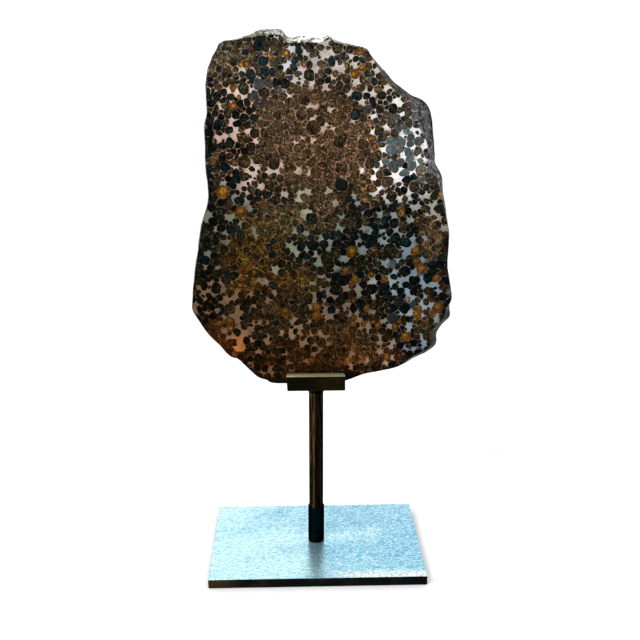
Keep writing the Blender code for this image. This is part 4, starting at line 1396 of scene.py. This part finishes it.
def dust_over(points):
    """Strength and colour of the dusty weathering at each point."""
    x, z = np.array(points).T
    colours = np.zeros((len(points), 3))
    total = np.full((len(points), 1), LEAST_TOTAL)
    veil = np.zeros(len(points))
    for area_x, area_z, half_x, half_z, strength, colour in DUST_AREAS:
        away = away_from(x, z, area_x, area_z, half_x, half_z)
        share = np.exp(-away * away)
        veil = np.maximum(veil, strength * share)
        colours += share[:, None] * np.array(colour)
        total += share[:, None]
    return veil, colours / total


def iron_between(crystals, outline):
    """Points and triangles of the iron: everything in the outline that no crystal covers."""
    points = [Vector(place) for place in outline]
    faces = [list(range(len(points)))]
    for crystal in crystals:
        start = len(points)
        points.extend(Vector(place) for place in crystal.ring)
        faces.append(list(range(start, len(points))))
    flat, _, triangles, _, _, sources = delaunay_2d_cdt(points, [], faces, INSIDE_FACES, SAME_POINT, True)
    kept = [tuple(corners) for corners, source in zip(triangles, sources) if list(source) == [0]]
    return [(point.x, point.y) for point in flat], kept


def is_thin(corners):
    """True for a sliver of iron too narrow to shine."""
    a, b, c = corners
    doubled_area = abs((b[0] - a[0]) * (c[1] - a[1]) - (c[0] - a[0]) * (b[1] - a[1]))
    return doubled_area < THIN_IRON * max(math.dist(a, b), math.dist(b, c), math.dist(c, a))


def fan(middle, first, count):
    """Triangles from a middle point to each side of the ring that starts at the first point."""
    return [(middle, first + step, first + (step + 1) % count) for step in range(count)]


def polished_face(name, outline, crystals, pools, depth, flipped=False):
    """One flat face: crystals as fans round their middles, and the iron that holds them."""
    points, iron = iron_between(crystals, outline)
    slots = [SEAM_SLOT if is_thin([points[i] for i in corners]) else IRON_SLOT for corners in iron]
    # The iron's tone: its tarnish together with painted reflection, bright to the upper right and dim
    # towards the foot
    tones_with_painted_light = [washed(x, z, IRON_TARNISH_AND_REFLECTION) for x, z in points]
    grains, edges, calm = ([0.0] * len(points) for _ in range(3))
    dustiness = [1.0] * len(points)
    stones = []
    for crystal in crystals:
        if crystal.clear:
            continue
        middle = len(points)
        count = len(crystal.ring)
        stones.extend(fan(middle, middle + 1, count))
        points.append((crystal.x, crystal.z))
        points.extend((x, z) for x, z in crystal.ring)
        tones_with_painted_light.extend([crystal.tone()] * (count + 1))
        grains.extend([crystal.grain] * (count + 1))
        edges.extend([0.0] + [SMOOTH_EDGE if crystal.smooth else 1.0] * count)
        calm.extend([SMOOTH_CALM if crystal.smooth else 0.0] * (count + 1))
        dustiness.extend([crystal.dustiness] * (count + 1))
    faces = [corners[::-1] for corners in iron + stones] if flipped else iron + stones
    mesh = bpy.data.meshes.new(name)
    mesh.from_pydata([(x * MM, depth, z * MM) for x, z in points], [], faces)
    veil, dust = dust_over(points)
    # The tone holds painted light: reflection on the iron and shade on the crystals
    paint(mesh, "tone", tones_with_painted_light)
    paint(mesh, "grain", grains)
    paint(mesh, "edge", edges)
    paint(mesh, "calm", calm)
    paint(mesh, "cover", cover_over(points, pools))
    paint(mesh, "veil", veil * np.array(dustiness))
    paint(mesh, "dust", dust)
    mesh.materials.append(made_once("polished_iron", iron_material))
    mesh.materials.append(made_once("dark_olivine", crystal_material))
    mesh.materials.append(made_once("dark_seam", seam_material))
    mesh.polygons.foreach_set("material_index", slots + [STONE_SLOT] * len(stones))
    mesh.update()
    return mesh


def clear_levels(front, back, front_y, back_y):
    """A clear crystal's rings from face to face, each with its middle and its depth."""
    levels = []
    for share in CLEAR_LEVELS:
        blend = eased(share)
        ring = front.ring * (1 - blend) + back.ring * blend
        middle = ring.mean(axis=0)
        swell = 1 + CLEAR_SWELL * math.sin(math.pi * share) * math.cos(7 * front.grain)
        levels.append((middle, middle + (ring - middle) * swell, front_y + (back_y - front_y) * share))
    return levels


def drawn_in(middle, ring, play):
    """The ring drawn in towards its middle by the play."""
    away = ring - middle
    return middle + away * (1 - play / np.hypot(away[:, 0], away[:, 1])[:, None])


def standing(places, y):
    """Places on the slice as points in metres at a depth."""
    return [(x * MM, y, z * MM) for x, z in places]


def wall_between(start, levels, count):
    """Four-cornered faces that join each ring to the next one behind it."""
    faces = []
    for level in range(levels - 1):
        for step in range(count):
            left = start + level * count + step
            right = start + level * count + (step + 1) % count
            faces.append((left, right, right + count, left + count))
    return faces


def seat_wall(levels, start):
    """Points and faces of the hole that a clear crystal fills."""
    points = [point for _, ring, y in levels for point in standing(ring, y)]
    return points, wall_between(start, len(levels), CLEAR_CORNERS)


def clear_stone(levels, play, start):
    """Points and faces of a closed clear crystal, its two middle points last."""
    points = [point for middle, ring, y in levels for point in standing(drawn_in(middle, ring, play), y)]
    faces = [(a, d, c, b) for a, b, c, d in wall_between(start, len(levels), CLEAR_CORNERS)]
    front_middle = start + len(points)
    back_ring = front_middle - CLEAR_CORNERS
    back_cap = fan(front_middle + 1, back_ring, CLEAR_CORNERS)
    faces.extend(fan(front_middle, start, CLEAR_CORNERS))
    faces.extend((middle, after, before) for middle, before, after in back_cap)
    for middle, _, y in (levels[0], levels[-1]):
        points.extend(standing([middle], y))
    return points, faces


class PALLASITE_OT_polished_faces(bpy.types.Operator):
    """Make the two polished faces, with their iron and crystals, and the clear crystals through the slice"""

    bl_idname = "pallasite.polished_faces"
    bl_label = "Polished Faces"

    def execute(self, context):
        settings = context.scene.pallasite_slice
        seam = settings.seam / MM
        low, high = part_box("meteorite_slice")
        front_outline, back_outline = self.outlines()
        noted = {kind: kept_inside(spots, front_outline) for kind, spots in NOTED_CRYSTALS.items()}
        passing = {"amber": leaning(noted["amber"], settings.back_seed)}
        back_pools = seeded_pools(back_outline, settings.back_seed)
        front = grown_crystals(front_outline, noted, IRON_POOLS, settings.front_seed, seam)
        back = grown_crystals(back_outline, passing, back_pools, settings.back_seed, seam)
        front_mesh = polished_face("polished_front", front_outline, front, IRON_POOLS, low.y)
        face = new_piece("polished_front", front_mesh)
        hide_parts("meteorite_slice")
        back_mesh = polished_face("polished_back", back_outline, back, back_pools, high.y, flipped=True)
        new_piece("polished_back", back_mesh)
        pairs = zip([c for c in front if c.clear], [c for c in back if c.clear])
        self.clear_crystals(pairs, low.y, high.y, settings.clear_play / MM)
        return {"FINISHED"}

    def outlines(self):
        builder = packed_solid("meteorite_slice")
        outlines = [outline_of(faces) for faces in flat_faces(builder)]
        builder.free()
        return outlines

    def clear_crystals(self, pairs, front_y, back_y, play):
        """Closed clear pieces from face to face, and the dark walls of the holes that they fill."""
        stones = ([], [])
        walls = ([], [])
        edges = []
        tones_with_painted_light = []
        for front, back in pairs:
            levels = clear_levels(front, back, front_y, back_y)
            made = (clear_stone(levels, play, len(stones[0])), seat_wall(levels, len(walls[0])))
            for whole, parts in zip((stones, walls), made):
                whole[0].extend(parts[0])
                whole[1].extend(parts[1])
            # Colour depth follows the brightness, so it carries the painted shade towards the foot
            depth = min(1.0, CLEAR_DEPTH * front.brightness**CLEAR_FADE)
            edges.extend([1.0] * (len(stones[0]) - len(edges) - 2) + [0.0, 0.0])
            tones_with_painted_light.extend([(depth, depth, depth)] * (len(stones[0]) - len(tones_with_painted_light)))
        values = {"edge": edges, "tone": tones_with_painted_light}
        self.rounded_piece("clear_crystals", stones, values, made_once("clear_olivine", clear_material))
        self.rounded_piece("crystal_seats", walls, {}, made_once("seat_wall", seat_material))

    def rounded_piece(self, name, parts, values, material):
        mesh = bpy.data.meshes.new(name)
        mesh.from_pydata(parts[0], [], parts[1])
        for value_name, numbers in values.items():
            paint(mesh, value_name, numbers)
        mesh.materials.append(material)
        shade_round(mesh, 50)
        new_piece(name, mesh)


class PALLASITE_OT_natural_rim(bpy.types.Operator):
    """Make the natural rim of the slice between its two polished faces"""

    bl_idname = "pallasite.natural_rim"
    bl_label = "Natural Rim"

    def execute(self, context):
        builder = packed_solid("meteorite_slice")
        front, back = flat_faces(builder)
        bmesh.ops.delete(builder, geom=front + back, context="FACES_ONLY")
        bmesh.ops.subdivide_edges(builder, edges=builder.edges, cuts=CRUST_CUTS, use_grid_fill=True)
        self.roughen(builder)
        mesh = mesh_from(builder, "natural_rim")
        mesh.materials.append(made_once("weathered_rim", rim_material))
        # The rim's tone and crust: crust colour with painted highlight and painted shade, and its roughness
        crust = [washed(vert.co.x / MM, vert.co.z / MM, RIM_CRUST_AND_PAINTED_LIGHT) for vert in mesh.vertices]
        paint(mesh, "tone", [values[:3] for values in crust])
        paint(mesh, "crust", [values[3] for values in crust])
        mesh.shade_smooth()
        new_piece("natural_rim", mesh)
        return {"FINISHED"}

    def roughen(self, builder):
        """Raises a fine grain on the rim, higher on the crest and calm beside the polished faces."""
        low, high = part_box("meteorite_slice")
        builder.normal_update()
        for vert in builder.verts:
            if vert.is_boundary:
                continue
            grain = noise.fractal(vert.co / CRUST_GRAIN, *CRUST_FRACTAL)
            crest = limited((vert.co.z - CREST_START) / CREST_SPREAD)
            calm = min(1.0, min(vert.co.y - low.y, high.y - vert.co.y) / CRUST_CALM)
            vert.co += vert.normal * (grain * calm * (CRUST_HEIGHT + CREST_HEIGHT * crest))


def lathe(name, profile):
    """A profile of radius and height, in metres, turned round Z."""
    builder = bmesh.new()
    points = [builder.verts.new((radius, 0.0, height)) for radius, height in profile]
    edges = [builder.edges.new(pair) for pair in zip(points, points[1:])]
    bmesh.ops.spin(
        builder,
        geom=points + edges,
        cent=(0.0, 0.0, 0.0),
        axis=(0.0, 0.0, 1.0),
        angle=math.tau,
        steps=ROUND_SEGMENTS,
        use_merge=True,
    )
    bmesh.ops.remove_doubles(builder, verts=builder.verts, dist=JOIN_DISTANCE)
    bmesh.ops.recalc_face_normals(builder, faces=builder.faces)
    mesh = mesh_from(builder, name)
    shade_round(mesh, 38)
    return mesh


class STAND_OT_bracket(bpy.types.Operator):
    """Make the slotted bracket that grips the slice"""

    bl_idname = "stand.bracket"
    bl_label = "Bracket"

    def execute(self, context):
        mesh = mesh_from(packed_solid("bracket"), "slotted_bracket")
        mesh.materials.append(made_once("patinated_bronze", bracket_material))
        shade_round(mesh, 50)
        piece = new_piece("slotted_bracket", mesh)
        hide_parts("bracket")
        return {"FINISHED"}


class STAND_OT_post(bpy.types.Operator):
    """Make the round post and the solder that flares it under the bracket"""

    bl_idname = "stand.post"
    bl_label = "Post"

    def execute(self, context):
        stand = context.scene.stand_finish
        low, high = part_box("post")
        radius = stand.post_radius
        profile = [(0.0, low.z), (radius - POST_CHAMFER, low.z), (radius, low.z + POST_CHAMFER)]
        for step in range(SOLDER_STEPS + 1):
            share = 1 - step / SOLDER_STEPS
            widening = (high.x - radius) * math.cos(math.radians(90) * share**SOLDER_CURVE) ** 2
            profile.append((radius + widening, high.z - stand.solder_height * share))
        profile.append((0.0, high.z))
        mesh = lathe("round_post", profile)
        mesh.materials.append(made_once("left_lit_bronze", post_material))
        piece = new_piece("round_post", mesh)
        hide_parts("post")
        return {"FINISHED"}


class STAND_OT_socket(bpy.types.Operator):
    """Make the dark tube that holds the foot of the post"""

    bl_idname = "stand.socket"
    bl_label = "Socket"

    def execute(self, context):
        low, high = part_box("socket")
        outer = high.x
        bore = context.scene.stand_finish.post_radius + SOCKET_GAP
        profile = [
            (bore, low.z),
            (outer, low.z),
            (outer, high.z - SOCKET_LIP),
            (outer - SOCKET_LIP, high.z),
            (bore + SOCKET_LIP, high.z),
            (bore, high.z - SOCKET_LIP),
            (bore, low.z),
        ]
        mesh = lathe("foot_socket", profile)
        mesh.materials.append(made_once("blackened_socket", tube_material))
        piece = new_piece("foot_socket", mesh)
        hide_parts("socket")
        return {"FINISHED"}


class STAND_OT_base_plate(bpy.types.Operator):
    """Make the flat steel plate"""

    bl_idname = "stand.base_plate"
    bl_label = "Base Plate"

    def execute(self, context):
        low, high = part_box("base_plate")
        edge = context.scene.stand_finish.plate_edge
        block = Matrix.Translation((low + high) / 2) @ Matrix.Diagonal((*(high - low), 1.0))
        builder = bmesh.new()
        bmesh.ops.create_cube(builder, size=1.0, matrix=block)
        bmesh.ops.bevel(builder, geom=builder.edges, offset=edge, segments=4, profile=0.5, affect="EDGES")
        mesh = mesh_from(builder, "steel_plate")
        mesh.materials.append(made_once("sky_reflection_top", plate_top_material))
        mesh.materials.append(made_once("dark_reflection_edge", plate_edge_material))
        # Painted light: the upward faces take the bright sky reflection, the others the dark edge
        for face in mesh.polygons:
            face.material_index = 0 if face.normal.z > FACING_UP else 1
        shade_round(mesh, 30)
        piece = new_piece("steel_plate", mesh)
        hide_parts("base_plate")
        return {"FINISHED"}


class STAGE_OT_studio(bpy.types.Operator):
    """Set up the camera, the even studio light and the pale floor"""

    bl_idname = "stage.studio"
    bl_label = "Studio"

    def execute(self, context):
        stage = context.scene.studio_stage
        self.camera(stage)
        self.floor()
        self.sky(stage)
        self.key_lamp()
        context.scene.view_settings.view_transform = "Standard"
        return {"FINISHED"}

    def camera(self, stage):
        lens = bpy.data.cameras.new("camera")
        lens.sensor_width = 36.0
        lens.lens = stage.lens
        camera = bpy.data.objects.new("camera", lens)
        camera.location = stage.camera_place
        camera.rotation_euler = (math.radians(90) - stage.camera_tilt, 0.0, -stage.camera_turn)
        bpy.context.scene.collection.objects.link(camera)
        bpy.context.scene.camera = camera

    def floor(self):
        builder = bmesh.new()
        bmesh.ops.create_grid(builder, x_segments=2, y_segments=2, size=FLOOR_SIZE)
        mesh = mesh_from(builder, "floor")
        mesh.materials.append(made_once("pale_floor", floor_material))
        floor = bpy.data.objects.new("floor", mesh)
        bpy.context.scene.collection.objects.link(floor)

    def sky(self, stage):
        """An even white sky, less bright in front of the object than behind it."""
        world = bpy.data.worlds.new("studio")
        world.use_nodes = True
        nodes, links = world.node_tree.nodes, world.node_tree.links
        where = nodes.new("ShaderNodeTexCoord")
        part = nodes.new("ShaderNodeSeparateXYZ")
        level = nodes.new("ShaderNodeMapRange")
        level.interpolation_type = "SMOOTHSTEP"
        for socket, value in zip(level.inputs[1:5], (*SKY_TURNS, stage.front_sky, stage.sky)):
            socket.default_value = value
        links.new(where.outputs["Generated"], part.inputs["Vector"])
        links.new(part.outputs["Y"], level.inputs["Value"])
        links.new(level.outputs["Result"], nodes["Background"].inputs["Strength"])
        nodes["Background"].inputs["Color"].default_value = (1.0, 1.0, 1.0, 1.0)
        bpy.context.scene.world = world

    def key_lamp(self):
        lamp = bpy.data.lights.new("key", "AREA")
        lamp.energy = KEY_POWER
        lamp.size = KEY_SIZE
        key = bpy.data.objects.new("key", lamp)
        key.location = KEY_PLACE
        key.rotation_euler = (Vector(KEY_AIM) - Vector(KEY_PLACE)).to_track_quat("-Z", "Y").to_euler()
        bpy.context.scene.collection.objects.link(key)


class VIEW3D_PT_pallasite(bpy.types.Panel):
    """Lists the pieces and their settings"""

    bl_label = "Pallasite Slice"
    bl_space_type = "VIEW_3D"
    bl_region_type = "UI"
    bl_category = "Pallasite"

    def draw(self, context):
        for operator in PIECE_ORDER:
            self.layout.operator(operator.bl_idname)
        for name, group in SETTINGS:
            box = self.layout.box()
            for setting in group.__annotations__:
                box.prop(getattr(context.scene, name), setting)


PIECE_ORDER = (
    STAGE_OT_studio,
    PALLASITE_OT_polished_faces,
    PALLASITE_OT_natural_rim,
    STAND_OT_bracket,
    STAND_OT_post,
    STAND_OT_socket,
    STAND_OT_base_plate,
)
SETTINGS = (
    ("pallasite_slice", PallasiteSlice),
    ("stand_finish", StandFinish),
    ("studio_stage", StudioStage),
)


def register():
    for _, group in SETTINGS:
        bpy.utils.register_class(group)
    for operator in PIECE_ORDER:
        bpy.utils.register_class(operator)
    bpy.utils.register_class(VIEW3D_PT_pallasite)
    for name, group in SETTINGS:
        setattr(bpy.types.Scene, name, PointerProperty(type=group))


def unregister():
    for name, _ in reversed(SETTINGS):
        delattr(bpy.types.Scene, name)
    bpy.utils.unregister_class(VIEW3D_PT_pallasite)
    for operator in reversed(PIECE_ORDER):
        bpy.utils.unregister_class(operator)
    for _, group in reversed(SETTINGS):
        bpy.utils.unregister_class(group)


def main():
    register()
    for found in list(bpy.data.objects):
        if found.type in ("LIGHT", "CAMERA"):
            bpy.data.objects.remove(found)
    for operator in PIECE_ORDER:
        family, name = operator.bl_idname.split(".")
        getattr(getattr(bpy.ops, family), name)()


if __name__ == "__main__":
    main()
